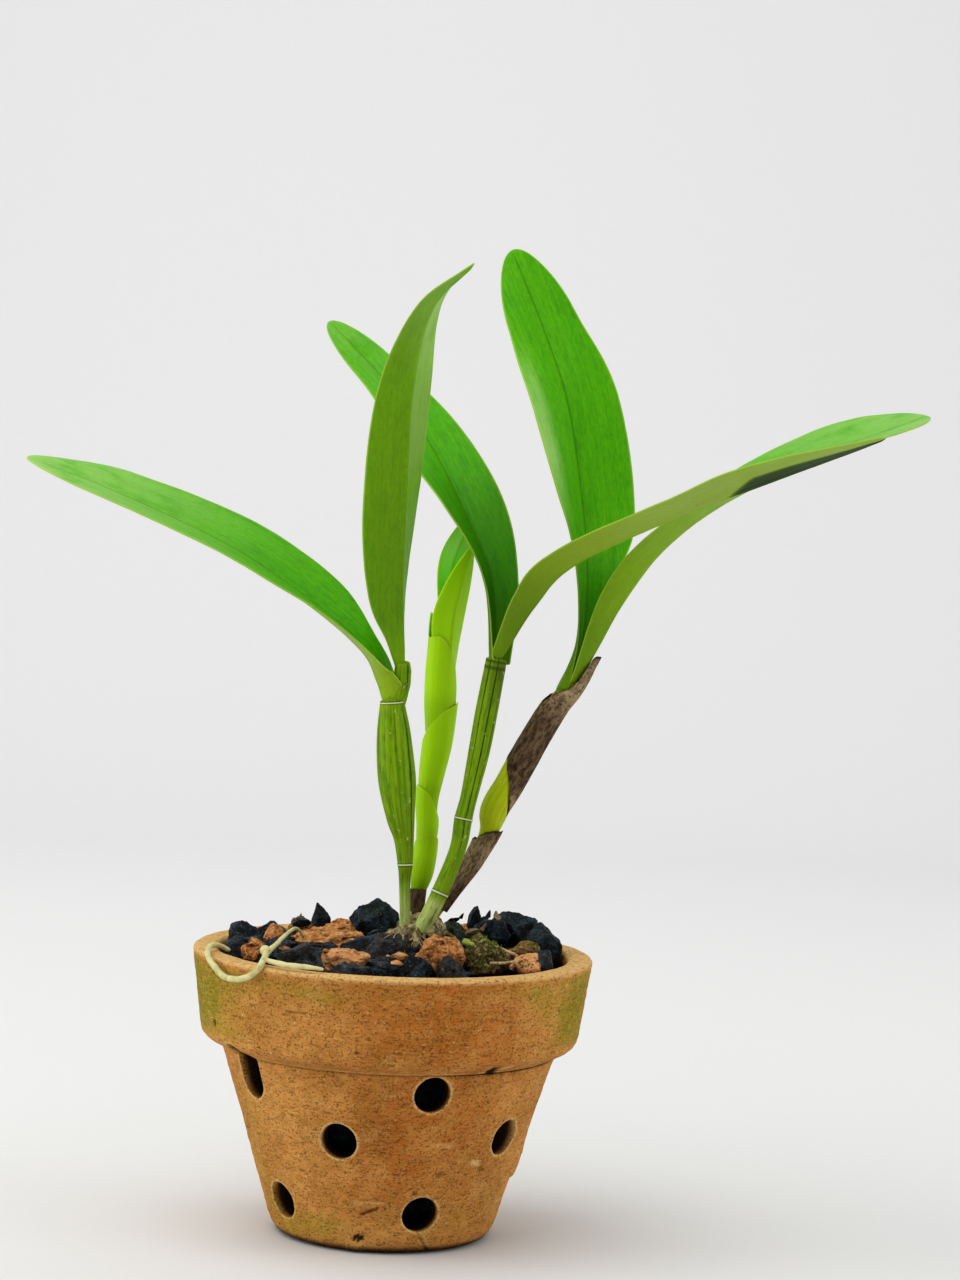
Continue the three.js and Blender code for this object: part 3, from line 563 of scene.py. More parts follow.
def young_lamina(settings):
    """Young bract and leaf: thin, smooth and glossy, yellow-green where light comes through."""
    material, tree, patches, where = new_material("young_lamina", "grain")
    clouds = patches(9, 0.36, 0.66, stretch=(1, 2.6, 1), seed=51)
    # Veins run 0.3 mm apart; drawn at 0.7 mm, so that they show.
    veins = patches(0.7, 0.38, 0.64, detail=2, stretch=(1, 60, 1), seed=52)
    base = layered(
        tree, linear(settings.young),
        ("#72e400", 0.9, where("deep")),
        ("#a9d810", 0.45, clouds),
        ("#bfe040", 0.18, veins),
        # Painted sheen where the tone is raised.
        ("#d8ecb0", 0.7, where("tone")),
        ("#4e6c00", 0.75, where("dark")),
        ("#c2da50", 0.25, where("edge", 0.96, 0.99)),
        ("#56701a", 0.85, patches(1.0, 0.72, 0.76, detail=2, seed=53)),
    )
    finished(tree, base, (clouds, 0.3, 0.45), [(veins, 0.03), (clouds, 0.04)], **{
        "Subsurface Weight": 0.25, "Subsurface Radius": (0.8, 1.0, 0.05), "Subsurface Scale": 0.002,
        "Specular IOR Level": 0.12,
    })
    return material


def cane_skin(name, base_colour, pale, dark):
    """Waxy skin of a cane, striped lengthwise, with pale scuff marks, dark specks, dry rings at its nodes and
    painted shade in its furrows.
    """
    material, tree, patches, where = new_material(name, "grain")
    # Fibres under the skin show as stripes about 0.8 mm apart.
    stripes = patches(0.8, 0.36, 0.66, detail=3, stretch=(1, 45, 1), seed=61)
    clouds = patches(8, 0.38, 0.64, stretch=(1, 2, 1), seed=62)
    scuffs_and_sheen = patches(1.2, 0.64, 0.69, detail=4, stretch=(1, 2.5, 1), seed=63)
    wear_and_painted_light = patches(3, 0.25, 0.45, stretch=(1, 6, 1), seed=65)
    flecks = patches(0.9, 0.50, 0.64, detail=5, stretch=(1, 6, 1), seed=66)
    base = layered(
        tree, linear(base_colour),
        (pale, 0.55, stripes),
        (pale, 0.35, clouds),
        # Painted shade in the furrows, in patches.
        (dark, 0.9, where("groove", 0.05, 0.6), wear_and_painted_light),
        (dark, 0.35, flecks),
        ("#4a5518", 0.7, where("dark")),
        # The foot is grey-green under dried scale leaf.
        ("#a8b856", 0.8, where("foot")),
        ("#d4d9ac", 0.5, where("foot"), stripes),
        ("#3c3c12", 0.6, where("foot"), flecks),
        ("#d9dfb4", 0.7, scuffs_and_sheen),
        ("#2f3a0c", 0.9, patches(0.8, 0.70, 0.75, detail=2, seed=64)),
        ("#3f4c10", 0.8, where("ring", 0.02, 0.2)),
        ("#dde3b8", 0.88, where("ring", 0.4, 0.8)),
    )
    finished(tree, base, (clouds, 0.34, 0.5), [(stripes, 0.06), (scuffs_and_sheen, 0.08)], **{
        "Subsurface Weight": 0.1, "Subsurface Radius": (0.7, 1.0, 0.15), "Subsurface Scale": 0.0016,
        "Specular IOR Level": 0.12,
    })
    return material


def papery_sheath(settings):
    """Spent sheath, dried on the cane: thin, fibrous and dull, blotched with mould from grey to black."""
    material, tree, patches, where = new_material("sheath_papery", "grain")
    # Fibres run lengthwise 0.2 mm apart; drawn at 0.6 mm, so that they show.
    fibres = patches(0.6, 0.36, 0.64, detail=3, stretch=(1, 30, 1), seed=71)
    blotch = patches(6, 0.34, 0.60, detail=6, stretch=(1, 2, 1), seed=72)
    mould = patches(0.9, 0.36, 0.70, detail=8, stretch=(1, 4, 1), seed=73)
    network = patches(0.9, 0.49, 0.58, detail=5, stretch=(1, 2, 1), seed=75)
    base = layered(
        tree, linear(settings.sheath),
        ("#b09a74", 0.8, patches(8, 0.40, 0.60, detail=4, stretch=(1, 2, 1), seed=74)),
        ("#c4ad88", 0.40, fibres),
        ("#4a3218", 0.7, where("dark")),
        ("#3c2813", 0.7, blotch, mould),
        ("#2b1b0c", 0.8, where("dark"), mould),
        ("#2a1d10", 0.6, network),
        ("#0d0c0c", 0.85, where("dark", 1, 1.6)),
        ("#24190f", 0.85, where("edge", 0.972, 0.995)),
    )
    finished(tree, base, (blotch, 0.6, 0.85), [(fibres, 0.12), (mould, -0.1)], **{"Specular IOR Level": 0.2})
    return material


def woody_bark(name, base_colour, pale, dark):
    """Corky or woody skin, scaly and dull."""
    material, tree, patches, _ = new_material(name)
    scales = patches(2.2, 0.38, 0.62, detail=5, seed=81)
    grit = patches(0.6, 0.3, 0.7, detail=5, seed=82)
    base = layered(
        tree, linear(base_colour),
        (pale, 0.9, scales),
        (dark, 0.9, patches(1.5, 0.52, 0.64, detail=4, seed=83)),
    )
    finished(tree, base, (grit, 0.75, 0.95), [(grit, 0.2), (scales, 0.2)], **{"Specular IOR Level": 0.25})
    return material


def spongy_root(name, base_colour, dark):
    """Velamen, the spongy skin of an orchid's root: matt and creamy, greener in patches."""
    material, tree, patches, _ = new_material(name)
    spots = patches(4, 0.44, 0.66, seed=91)
    grit = patches(0.5, 0.3, 0.7, detail=4, seed=92)
    base = layered(
        tree, linear(base_colour),
        (dark, 0.75, spots),
        ("#6b5a34", 0.7, patches(1.2, 0.62, 0.70, seed=93)),
    )
    finished(tree, base, (grit, 0.7, 0.9), [(grit, 0.08), (spots, 0.1)], **{"Specular IOR Level": 0.25})
    return material


def studio_paper(settings):
    """Seamless background paper, pressed smooth and matt."""
    material, tree, patches, _ = new_material("studio_paper")
    fibre = patches(3, 0.2, 0.8, detail=2, seed=95)
    base = layered(tree, linear(settings.backdrop), ("#d6d6d4", 0.2, fibre))
    finished(tree, base, (fibre, 0.9, 1.0), [(fibre, 0.02)], **{"Specular IOR Level": 0.05})
    return material


# ---- Pot -----------------------------------------------------------------

# Corners of the pot's outside and inside as radius, height and rounding.
COLLAR_CORNERS = [(62.8, 70.3, 0.5), (68.7, 73.2, 1.2), (70.6, 75.2, 1.6), (71.2, 78, 2)]
FOOT_CORNERS = [(36.5, 0, 0.8), (39.8, 1.2, 1.2), (41.8, 3.8, 1.6), (43.1, 7.5, 2)]
WALL_THICKNESS = 7.5
FLOOR = 8
LIP_WIDTH = 9
LIP_ROUNDING = 2.1
WALL_STEP = 1.0
INSIDE_STEP = 3.5
POT_SIDES = 384
HOLE_ROWS = [(62.8, 16), (43.5, -18), (16, 18)]  # height and azimuth of each row's first hole
HOLES_PER_ROW = 5
SLOT_AZIMUTH = 16 - 72
SLOT_HEIGHTS = (61.3, 68.6)
HOLE_FLARE = 0.55  # rounding of a hole's edge
HOLE_SIDES = 44
DRAIN_SIDES = 36
DRAIN_CIRCLE = 22
DRAIN_AZIMUTHS = (0, 120, 240)
DRAIN_FLARE = 0.8
COLLAR_SEAM = 70.9  # height of the pale line under the collar, a painted highlight on its lower edge
COLLAR_CRACK = 70.15  # height of the groove below it, which holds a painted shadow
BED_TOP = 105.0


def rounded(corners):
    """Polyline through corners, each rounded by an arc-like bend."""
    points = [np.array(corners[0][:2], float)]
    for before, corner, after in zip(corners, corners[1:], corners[2:]):
        here = np.array(corner[:2], float)
        back = np.array(before[:2]) - here
        ahead = np.array(after[:2]) - here
        reach = min(corner[2], 0.45 * np.linalg.norm(back), 0.45 * np.linalg.norm(ahead))
        start = here + unit(back) * reach
        end = here + unit(ahead) * reach
        for t in np.linspace(0, 1, 6):
            points.append((1 - t) ** 2 * start + 2 * t * (1 - t) * here + t**2 * end)
    points.append(np.array(corners[-1][:2], float))
    return points


def stepped(points):
    """The same polyline in short stretches, shorter on the wall's outside than elsewhere."""
    lip = max(range(len(points)), key=lambda place: points[place][1])
    out = [points[0]]
    for place, (start, end) in enumerate(zip(points, points[1:])):
        step = WALL_STEP if 0 < place <= lip + 8 else INSIDE_STEP
        count = max(1, math.ceil(np.linalg.norm(end - start) / step))
        out += [start + (end - start) * k / count for k in range(1, count + 1)]
    return np.array(out)


def pot_corners(settings):
    """Corners of the pot's outside and inside, from the axis to the rim and back to the axis."""
    rim, top = settings.rim_radius / MM, settings.rim_height / MM
    inner = rim - LIP_WIDTH
    wall_top = COLLAR_CORNERS[0]
    foot = FOOT_CORNERS[-1]
    outside = [(0, 0, 0), *FOOT_CORNERS, *COLLAR_CORNERS, (rim + 0.25, top, LIP_ROUNDING)]
    inside = [
        (inner, top, LIP_ROUNDING), (inner - 2, top - 16, 3),
        (wall_top[0] - WALL_THICKNESS, wall_top[1], 4), (foot[0] - WALL_THICKNESS, FLOOR, 4), (0, FLOOR, 0),
    ]
    return outside, inside


def outer_radius(settings, heights):
    """Radius of the pot's outside at heights."""
    outside = np.array([corner[:2] for corner in pot_corners(settings)[0][1:]])
    return np.interp(heights, outside[:, 1], outside[:, 0])


def lathe(profile, sides):
    """Closed body turned from a profile that starts and ends on the axis."""
    ring = circle(sides)
    turned = profile[1:-1]
    points = np.stack([
        turned[:, :1] * np.sin(ring), -turned[:, :1] * np.cos(ring), np.repeat(turned[:, 1:], sides, 1),
    ], -1).reshape(-1, 3)
    points = np.vstack([points, [0, 0, profile[0][1]], [0, 0, profile[-1][1]]])
    return form(points, closed_faces(len(turned), sides))


def plug(rings):
    """Closed plug over rings of points."""
    count, sides = len(rings), len(rings[0])
    faces = grid_faces(count, sides)
    faces += [list(range(sides)), list(range((count - 1) * sides, count * sides))]
    return form(np.vstack(rings), faces)


def hole_cutter(settings, azimuth, low, high):
    """Plug for a hole from height low to high, flared where it meets the wall's outside."""
    radius = settings.hole_radius / MM
    turn = circle(HOLE_SIDES)
    flat, aside = level_frame(azimuth)
    rings = []
    for depth in [-4.0, *np.linspace(0, HOLE_FLARE, 6), 4.0, 9.0, 15.0]:
        inside = np.clip(1 - depth / HOLE_FLARE, 0, 1)
        wide = radius + HOLE_FLARE * (1 - math.sqrt(1 - inside**2))
        across = wide * np.cos(turn)
        heights = wide * np.sin(turn) + np.where(np.sin(turn) > 0, high, low)
        out = np.sqrt(outer_radius(settings, heights)**2 - across**2) - depth
        rings.append(out[:, None] * flat + across[:, None] * aside + heights[:, None] * np.array([0, 0, 1]))
    return plug(rings)


def drain_cutter(radius, place):
    """Plug for a drain hole in the base, flared at both ends."""
    turn = circle(DRAIN_SIDES)
    rings = []
    for height, wide in [
        (-3, radius + 1), (0, radius + 1), (DRAIN_FLARE, radius), (FLOOR - DRAIN_FLARE, radius),
        (FLOOR, radius + 1), (FLOOR + 3, radius + 1),
    ]:
        rings.append(np.stack([
            place[0] + wide * np.cos(turn), place[1] + wide * np.sin(turn),
            np.full(DRAIN_SIDES, float(height)),
        ], -1))
    return plug(rings)


def wall_holes():
    """Azimuth and lowest and highest middle of each hole in the wall."""
    holes = []
    for height, azimuth in HOLE_ROWS:
        for turn in range(HOLES_PER_ROW):
            place = azimuth + turn * 360 / HOLES_PER_ROW
            slot = height == HOLE_ROWS[0][0] and abs((place - SLOT_AZIMUTH + 180) % 360 - 180) < 1
            holes.append((place, *SLOT_HEIGHTS) if slot else (place, height, height))
    return holes


# Marks of use on the wall: azimuth and height of both ends, half width, depth (less than 0
# stands out), and how dark the mark is (less than 0 is pale).
WALL_MARKS = [
    (34.4, 72.2, 36.4, 71.4, 1.1, 1.4, 1.2), (37, 72, 41, 73.6, 0.5, 0.3, -0.8),
    (-9.6, 15.6, -1.8, 18.4, 0.5, 0.5, 0.75), (17.6, 9.4, 21.0, 5.6, 0.35, 0.4, 0.4),
    (21, 5.6, 25.5, 1.4, 0.35, 0.4, 0.4), (19.8, 8.6, 24.5, 3.6, 0.5, -0.3, -0.7),
    (-13.5, 5.4, -10.8, 7.6, 0.45, 0.3, 0.9), (-11.4, 5.0, -9.0, 7.2, 0.45, 0.3, 0.9),
    (-13.2, 6.8, -8.2, 6.0, 0.4, 0.25, 0.8), (-15.5, 1.4, -11.5, 1.0, 1.5, -0.9, -0.3),
    (-64.2, 82.4, -63.4, 80.8, 0.6, 0.6, 1.0), (-9.4, 79.2, -8.8, 79.0, 0.45, 0.5, 0.7),
    (-5.4, 80.8, -4.6, 80.7, 0.4, 0.5, 0.7), (38.6, 35.4, 42.4, 34.6, 1.0, -0.35, -1.0),
    (-12.8, 19.9, 0.5, 20.6, 0.5, 0.15, -0.6), (12, 85, 15, 85.2, 0.35, 0.2, 0.35),
    (-2, 62, 3, 62.3, 0.4, 0.2, -0.5), (20, 43.5, 25.5, 42.6, 0.6, 0.2, -0.6),
    (-26, 58, -20, 56.5, 0.5, 0.2, -0.5), (13.5, 24.6, 14.6, 24.4, 0.8, 0.3, 0.6),
    (23, 31.6, 24, 31.4, 0.8, 0.25, 0.5), (43, 33.4, 45.8, 31.8, 0.5, 0.35, 0.6),
    (-38, 30.6, -34, 29.4, 0.45, 0.25, 0.5), (-30, 92, -24, 91.6, 0.4, 0.2, 0.5),
    (28, 78.5, 31, 79.0, 0.35, 0.2, 0.3), (-44, 88.4, -40, 88.8, 0.4, 0.2, 0.3),
    (52, 79, 55, 78.6, 0.4, 0.25, 0.35),
]
# Algae: azimuth, height, spread in degrees, spread in height, strength.
ALGAE_PATCHES = [
    (-20, 99, 11, 5, 0.6), (-42, 101, 14, 5, 0.55), (47, 96, 6, 6, 0.6), (42, 102, 16, 4, 0.5),
    (62, 90, 12, 9, 0.5), (-72, 90, 22, 14, 0.6), (-50, 8, 18, 9, 0.75), (-24, 9, 14, 7, 0.6),
    (-72, 26, 16, 20, 0.45), (34, 12, 12, 8, 0.35), (-62, 52, 16, 12, 0.35), (2, 101, 10, 3, 0.3),
    (60, 20, 20, 14, 0.3), (18, 88, 7, 5, 0.25), (-8, 62, 8, 5, 0.2),
]
FLAKE = (70, 104, 24, 44)  # azimuths and heights of a flake that stands off the wall
FLAKE_STAND = 1.2
# Relief of the clay: size of its features and their share of the settings' wobble.
THROWING = (6, 2.4, 0.55)  # across and upwards: the fingers' marks run level
UNEVEN = (26, 1.1)
DENTS = (7, 0.5)


def marked(points):
    """How deep and how dark the wall's marks make each point."""
    x, y, z = points.T
    azimuth = np.degrees(np.arctan2(x, -y))
    arc = np.radians(1) * np.hypot(x, y)
    deep, dark = np.zeros(len(x)), np.zeros(len(x))
    for start, low, end, high, half, depth, shade in WALL_MARKS:
        along = np.stack([(end - start) * arc, np.full(len(x), high - low)], -1)
        here = np.stack([(azimuth - start) * arc, z - low], -1)
        share = np.clip((here * along).sum(1) / np.maximum((along**2).sum(1), 1e-6), 0, 1)
        gap = np.linalg.norm(here - along * share[:, None], axis=1)
        near = smoothstep(-gap, -2 * half, -0.4 * half)
        deep += depth * near
        dark += shade * near
    return deep, dark


def pot_layers(settings, points):
    """Where the clay is rubbed pale, green, stained or painted with shade and highlight, from 0 to 1 at each
    point.
    """
    x, y, z = points.T
    top = settings.rim_height / MM
    azimuth = np.degrees(np.arctan2(x, -y))
    cloud = rough(points, 16, 4, 1)
    fine = rough(points, 4, 3, 2)
    skin = np.hypot(x, y) - outer_radius(settings, z)
    outside = smoothstep(skin, -1.3, -0.8)
    dark = marked(points)[1]
    wear_and_painted_light = 0.9 * smoothstep(z, top - 2.4, top - 0.4) + 0.3 * smoothstep(cloud, 0.2, 0.7) * outside
    # Painted highlight along the collar's lower edge; pale marks are rubbed clay.
    wear_and_painted_light = wear_and_painted_light + 0.6 * (band(z, COLLAR_SEAM, 0.4) * outside) + np.maximum(-dark, 0) * outside
    # The holes' edges are rubbed pale.
    for place, low, high in wall_holes():
        flat, aside = level_frame(place)
        gap = np.hypot(points @ aside, z - np.clip(z, low, high)) - settings.hole_radius / MM
        edge = smoothstep(gap, -0.2, 0.1) * smoothstep(-gap, -1.0, -0.5)
        wear_and_painted_light = wear_and_painted_light + edge * (points @ flat > 0) * smoothstep(skin, -0.8, -0.3)
    # Algae grow on the collar's two sides, and in patches.
    left = smoothstep(-azimuth, 34, 72) * smoothstep(-azimuth, 165, 130)
    right = smoothstep(azimuth, 44, 74) * smoothstep(azimuth, 165, 130)
    algae = smoothstep(z, 73, 80) * (0.9 * left + 0.9 * right) * (0.55 + 0.45 * smoothstep(cloud, -0.6, 0.2))
    for place, height, wide, tall, strength in ALGAE_PATCHES:
        gap = ((azimuth - place) / wide) ** 2 + ((z - height) / tall) ** 2
        algae = algae + strength * np.exp(-gap) * (0.6 + 0.4 * smoothstep(fine, -0.5, 0.3))
    # Painted shade: the front of the wall, which gets less light than its sides, is painted darker and
    # redder.
    front_shade = band(azimuth, 14, 34) * (0.75 + 0.6 * cloud) * smoothstep(z, 4, 26)
    # The foot is darker towards the bottom and the marks are dark; the line under the collar holds a painted
    # shadow, and the holes' walls and the pot's inside are painted near black as shade.
    stain_and_shade = 0.9 * smoothstep(-z, -4.5, -0.8) * outside + np.maximum(dark, 0)
    shadow = band(z, COLLAR_CRACK, 0.35) * (0.45 + 0.5 * smoothstep(azimuth, 5, 40)) * outside
    hollow = smoothstep(-skin, 0.7, 1.9) * smoothstep(-z, -(top - 1.5), -(top - 6))
    stain_and_shade = np.maximum(stain_and_shade + shadow, 0.95 * hollow)
    return {
        "wear_and_painted_light": np.clip(wear_and_painted_light, 0, 1),
        "algae": np.clip(0.62 * algae, 0, 1) * outside * smoothstep(-z, -105.4, -103.5),
        "front_shade": np.clip(front_shade, 0, 1),
        "stain_and_shade": np.clip(stain_and_shade, 0, 1),
    }


def make_pot(settings, material):
    """The pot, turned, pierced, and then roughened as thrown and weathered clay is."""
    outside, inside = pot_corners(settings)
    profile = stepped(rounded([*outside, *inside]))
    body = mesh_of("pot_body_turned", lathe(profile, POT_SIDES))
    radius = settings.hole_radius / MM
    plugs = [hole_cutter(settings, *hole) for hole in wall_holes()]
    plugs += [drain_cutter(radius, towards(turn, 0) * DRAIN_CIRCLE) for turn in DRAIN_AZIMUTHS]
    cutter = linked("pot_plugs", mesh_of("pot_plugs", merged(plugs)))
    pierced = applied(
        "pot_pierced", body, "BOOLEAN", object=cutter, operation="DIFFERENCE", solver="MANIFOLD",
    )
    bpy.data.objects.remove(cutter)
    points = points_of(pierced)
    if len(points) < len(body.vertices):
        raise RuntimeError("the holes were not cut")
    x, y, z = points.T
    out = np.stack([x, y, np.zeros(len(x))], -1) / np.maximum(np.hypot(x, y), 1)[:, None]
    azimuth = np.arctan2(x, -y)
    across, upwards, share = THROWING
    around = np.stack([np.cos(azimuth) * across, np.sin(azimuth) * across, z / upwards], -1)
    relief = share * rough(around, 1.0, 3, 3)
    for seed, (size, share) in ((4, UNEVEN), (5, DENTS)):
        relief = relief + share * rough(points, size, 3, seed)
    wobble = settings.wobble / MM
    push = wobble * relief * (0.25 + 0.75 * smoothstep(z, 1.5, 6))
    deep = marked(points)[0]
    outside = smoothstep(np.hypot(x, y) - outer_radius(settings, z), -1.6, -0.8)
    crack = 0.35 * band(z, COLLAR_CRACK, 0.35)
    turn = np.degrees(azimuth)
    flake = smoothstep(turn, FLAKE[0], FLAKE[0] + 5) * smoothstep(-turn, -FLAKE[1], 5 - FLAKE[1])
    flake = flake * smoothstep(z, FLAKE[2], FLAKE[2] + 1) * smoothstep(-z, -FLAKE[3], -FLAKE[2] - 3)
    push = push + (FLAKE_STAND * flake - deep - crack) * outside
    points = points + out * push[:, None]
    nick = smoothstep(cells(points, 9, 1), 0.16, 0.02) * smoothstep(z, 102, 106)
    points[:, 2] += 0.5 * wobble * rough(points, 16, 3, 6) * smoothstep(z, 100, 106) - 0.5 * nick
    place_points(pierced, points)
    for name, values in pot_layers(settings, points).items():
        set_layer(pierced, name, values)
    add_piece("pot_body", pierced, material, ["pot"], sharp=42)


# ---- Filling -------------------------------------------------------------

# Lumps on the surface: x, y, z of the middle and half the size each way.
BRICKS = [
    (-51, -16, 104.5, 5, 6, 7.5), (-45, 21, 105.5, 5, 6, 6.5), (-25, 9, 107, 15.5, 9.5, 7),
    (-18, -34, 105.5, 11, 7, 6.5), (16, -33, 109, 9.5, 8.5, 9.5), (34, -29, 107.5, 9.5, 8.5, 9.5),
    (49, -34, 107, 6, 5.5, 6), (50, -5, 108, 7.5, 6.5, 6), (55, 31, 108, 3.5, 4, 5.5),
    (-36, 45, 107, 5.5, 5, 5.5), (-21, 33, 106, 8, 7, 6.5), (28, 49, 106, 7, 6, 6.5), (8, 57, 105, 6, 5, 6),
]
# How mossy, pale or brown single lumps are, by their place in their list.
BRICK_MOSS = {5: 1.6, 6: 0.1, 7: 0.6, 9: 0.5}
# The fourth lump's paleness is partly painted light, where it faces the lights; the others' paleness is their
# own colour.
BRICK_PALE = {1: 0.25, 2: 0.3, 3: 0.8, 4: 0.2, 6: 0.9, 7: 0.5}
CHARCOAL = [
    (-56, 8, 105.5, 7.5, 8, 8.5), (-58, -7, 104, 6.5, 7, 7.5), (-47, 34, 105, 8, 8, 7.5),
    (-29, 53, 107.5, 5, 5, 8.5), (-35, -36, 105.5, 8, 8, 7.5), (-15, -51, 103.5, 8.5, 7, 6.5),
    (-8, 44, 109, 10, 9.5, 10), (-1, -15, 107, 10, 9, 9.5), (-2, -51, 104.5, 4.8, 5.5, 5.5),
    (9, -50, 105, 6.5, 6, 7.5), (21, -50, 105, 6.5, 6, 7), (23, 20, 109.5, 8, 8, 7.5),
    (37, 26, 110.4, 9, 8, 8), (31, 34, 113, 3.2, 3.2, 7), (46, 34, 111.4, 9, 8.5, 8.5),
    (56, 14, 108.4, 9, 11, 8.6), (54, -21, 105.5, 6.5, 7.5, 6.5), (8, 4, 108.5, 9, 8, 6),
    (7, 20, 109, 8, 8, 6), (-12, -2, 104.5, 9, 8, 7.5),
]
CHARCOAL_BROWN = {4: 0.5, 7: 0.5, 5: 0.4, 10: 0.6, 16: 0.4}
CHARCOAL_MOSS = {6: 0.1, 11: 0.4, 15: 0.2, 17: 0.35, 18: 0.4}
SURFACE_PITCH = 18
SURFACE_JITTER = 0.3
SURFACE_OVERLAP = 0.55
SURFACE_REACH = 57
SURFACE_LUMP = (11.5, 11.5, 9)
SURFACE_HEIGHT = (103, 99)
CHIPS = 11
CHIP_DEPTH = (0.62, 0.95)
LUMP_CORNER = 1.12
CHIP_EDGE = 0.2
FINE_CHIPS = 14
FINE_CHIP_DEPTH = (0.74, 1.0)
FINE_SEED = 9000  # on top of a lump's own seed
# Fineness of the ball, relief as a share of a lump's size, and size of its grit.
CHARCOAL_GRAIN = (5, 0.085, 3.0)
SURFACE_GRAIN = (4, 0.09, 3.4)
BRICK_GRAIN = (5, 0.14, 2.4)
CRUMB_GRAIN = (2, 0.15, 1.2)
WALL_ROOM = 1.0  # kept between the filling and the pot
CORE_ROWS = 58
CORE_SIDES = 150
CORE_ROOM = 2.2  # between the core and the wall
CORE_LUMP = 9
CORE_GAP = 4.5  # depth of the gaps between its lumps
CORE_GRAIN = (3.5, 0.7)  # size and depth of its grit


def chip_planes(seed, count, depths):
    """Seeded planes that chip a lump: their normals and distances from its middle."""
    draw = seeded(seed)
    normals, reach = [], []
    for _ in range(count):
        height = 2 * draw() - 1
        turn = 2 * math.pi * draw()
        level = math.sqrt(1 - height * height)
        normals.append((level * math.cos(turn), level * math.sin(turn), height))
        reach.append(depths[0] + (depths[1] - depths[0]) * draw())
    return np.array(normals), np.array(reach)


def ball(level):
    """Points and faces of a unit ball of triangles."""
    work = bmesh.new()
    bmesh.ops.create_icosphere(work, subdivisions=level, radius=1)
    points = np.array([v.co[:] for v in work.verts])
    faces = [[v.index for v in face.verts] for face in work.faces]
    work.free()
    return points, faces


def chipped(directions, normals, reach, least):
    """How far each direction reaches before a plane cuts it."""
    facing = directions @ normals.T
    cut = np.where(facing > CHIP_EDGE, reach / np.maximum(facing, CHIP_EDGE), least)
    return np.minimum(cut.min(1), least)


def lump(block, seed, level, relief, grit_size, tint=0.0, moss=0.0):
    """Broken lump: a ball cut by its seeded planes, then by finer ones, with a rough skin."""
    middle, half = np.array(block[:3]), np.array(block[3:])
    directions, faces = ball(level)
    coarse = chipped(directions, *chip_planes(seed, CHIPS, CHIP_DEPTH), LUMP_CORNER)
    fine = chipped(directions, *chip_planes(seed + FINE_SEED, FINE_CHIPS, FINE_CHIP_DEPTH), LUMP_CORNER)
    reach = np.minimum(coarse, fine)
    points = directions * reach[:, None] * half
    crags = rough(points + seed * 13.0, grit_size, 5, 7)
    pits = smoothstep(cells(points + seed * 13.0, grit_size * 0.7, 2), 0.30, 0.05)
    size = float(half.min())
    # Ridges stay sharp, and flakes have come off in steps.
    flakes = np.floor(3 * rough(points + seed * 7.0, size * 0.9, 2, 5)) / 3
    ridges = 0.5 - np.abs(rough(points + seed * 3.0, size * 0.8, 3, 11))
    push = relief * size * (0.7 * crags - 0.5 * pits + flakes + 0.6 * ridges) - 0.02 * size
    points = points + directions * push[:, None]
    # Painted shade: dark in pits and low crags, deep down in the bed, and on faces that look down.
    deep = smoothstep(-(points + middle)[:, 2], -105, -100)
    under = 0.6 * smoothstep(-directions[:, 2], -0.15, 0.7)
    hollow = np.clip(0.75 * pits + smoothstep(-crags, 0.15, 0.9) * 0.7 + deep + under, 0, 1)
    count = len(points)
    upward = smoothstep(directions[:, 2], -0.1 - 0.5 * moss, 0.5)
    return form(
        points + middle, faces, tint=np.full(count, tint), moss=moss * upward, hollow=hollow * 0.85,
    )


def inner_radius(settings, heights):
    """Radius of the pot's inside at heights."""
    inside = np.array([corner[:2] for corner in pot_corners(settings)[1]])[::-1]
    return np.interp(heights, inside[1:, 1], inside[1:, 0])


def kept_inside(made, settings):
    """Pulls a form's points in from the pot's wall."""
    x, y, z = made["points"].T
    radius = np.hypot(x, y)
    room = inner_radius(settings, z) - WALL_ROOM
    pull = np.minimum(1, room / np.maximum(radius, 1e-6))
    made["points"][:, 0] *= pull
    made["points"][:, 1] *= pull
    return made


def surface_lumps(placed):
    """Plain lumps on a jittered triangular grid, where no placed lump lies already."""
    draw = seeded(7)
    rows = math.ceil(SURFACE_REACH / SURFACE_PITCH) + 1
    lumps = []
    for row in range(-rows, rows + 1):
        for column in range(-rows, rows + 1):
            shift = math.fmod(row, 2) / 2
            x = (column + shift + SURFACE_JITTER * (draw() - 0.5)) * SURFACE_PITCH
            y = (row * math.sqrt(0.75) + SURFACE_JITTER * (draw() - 0.5)) * SURFACE_PITCH
            reach = math.hypot(x, y)
            covered = any(
                math.hypot(x - p[0], y - p[1]) < SURFACE_OVERLAP * (p[3] + p[4]) for p in placed
            )
            if reach > SURFACE_REACH or covered:
                continue
            share = reach / SURFACE_REACH
            z = SURFACE_HEIGHT[0] + (SURFACE_HEIGHT[1] - SURFACE_HEIGHT[0]) * share + draw()
            lumps.append((x, y, z, *SURFACE_LUMP))
    return lumps


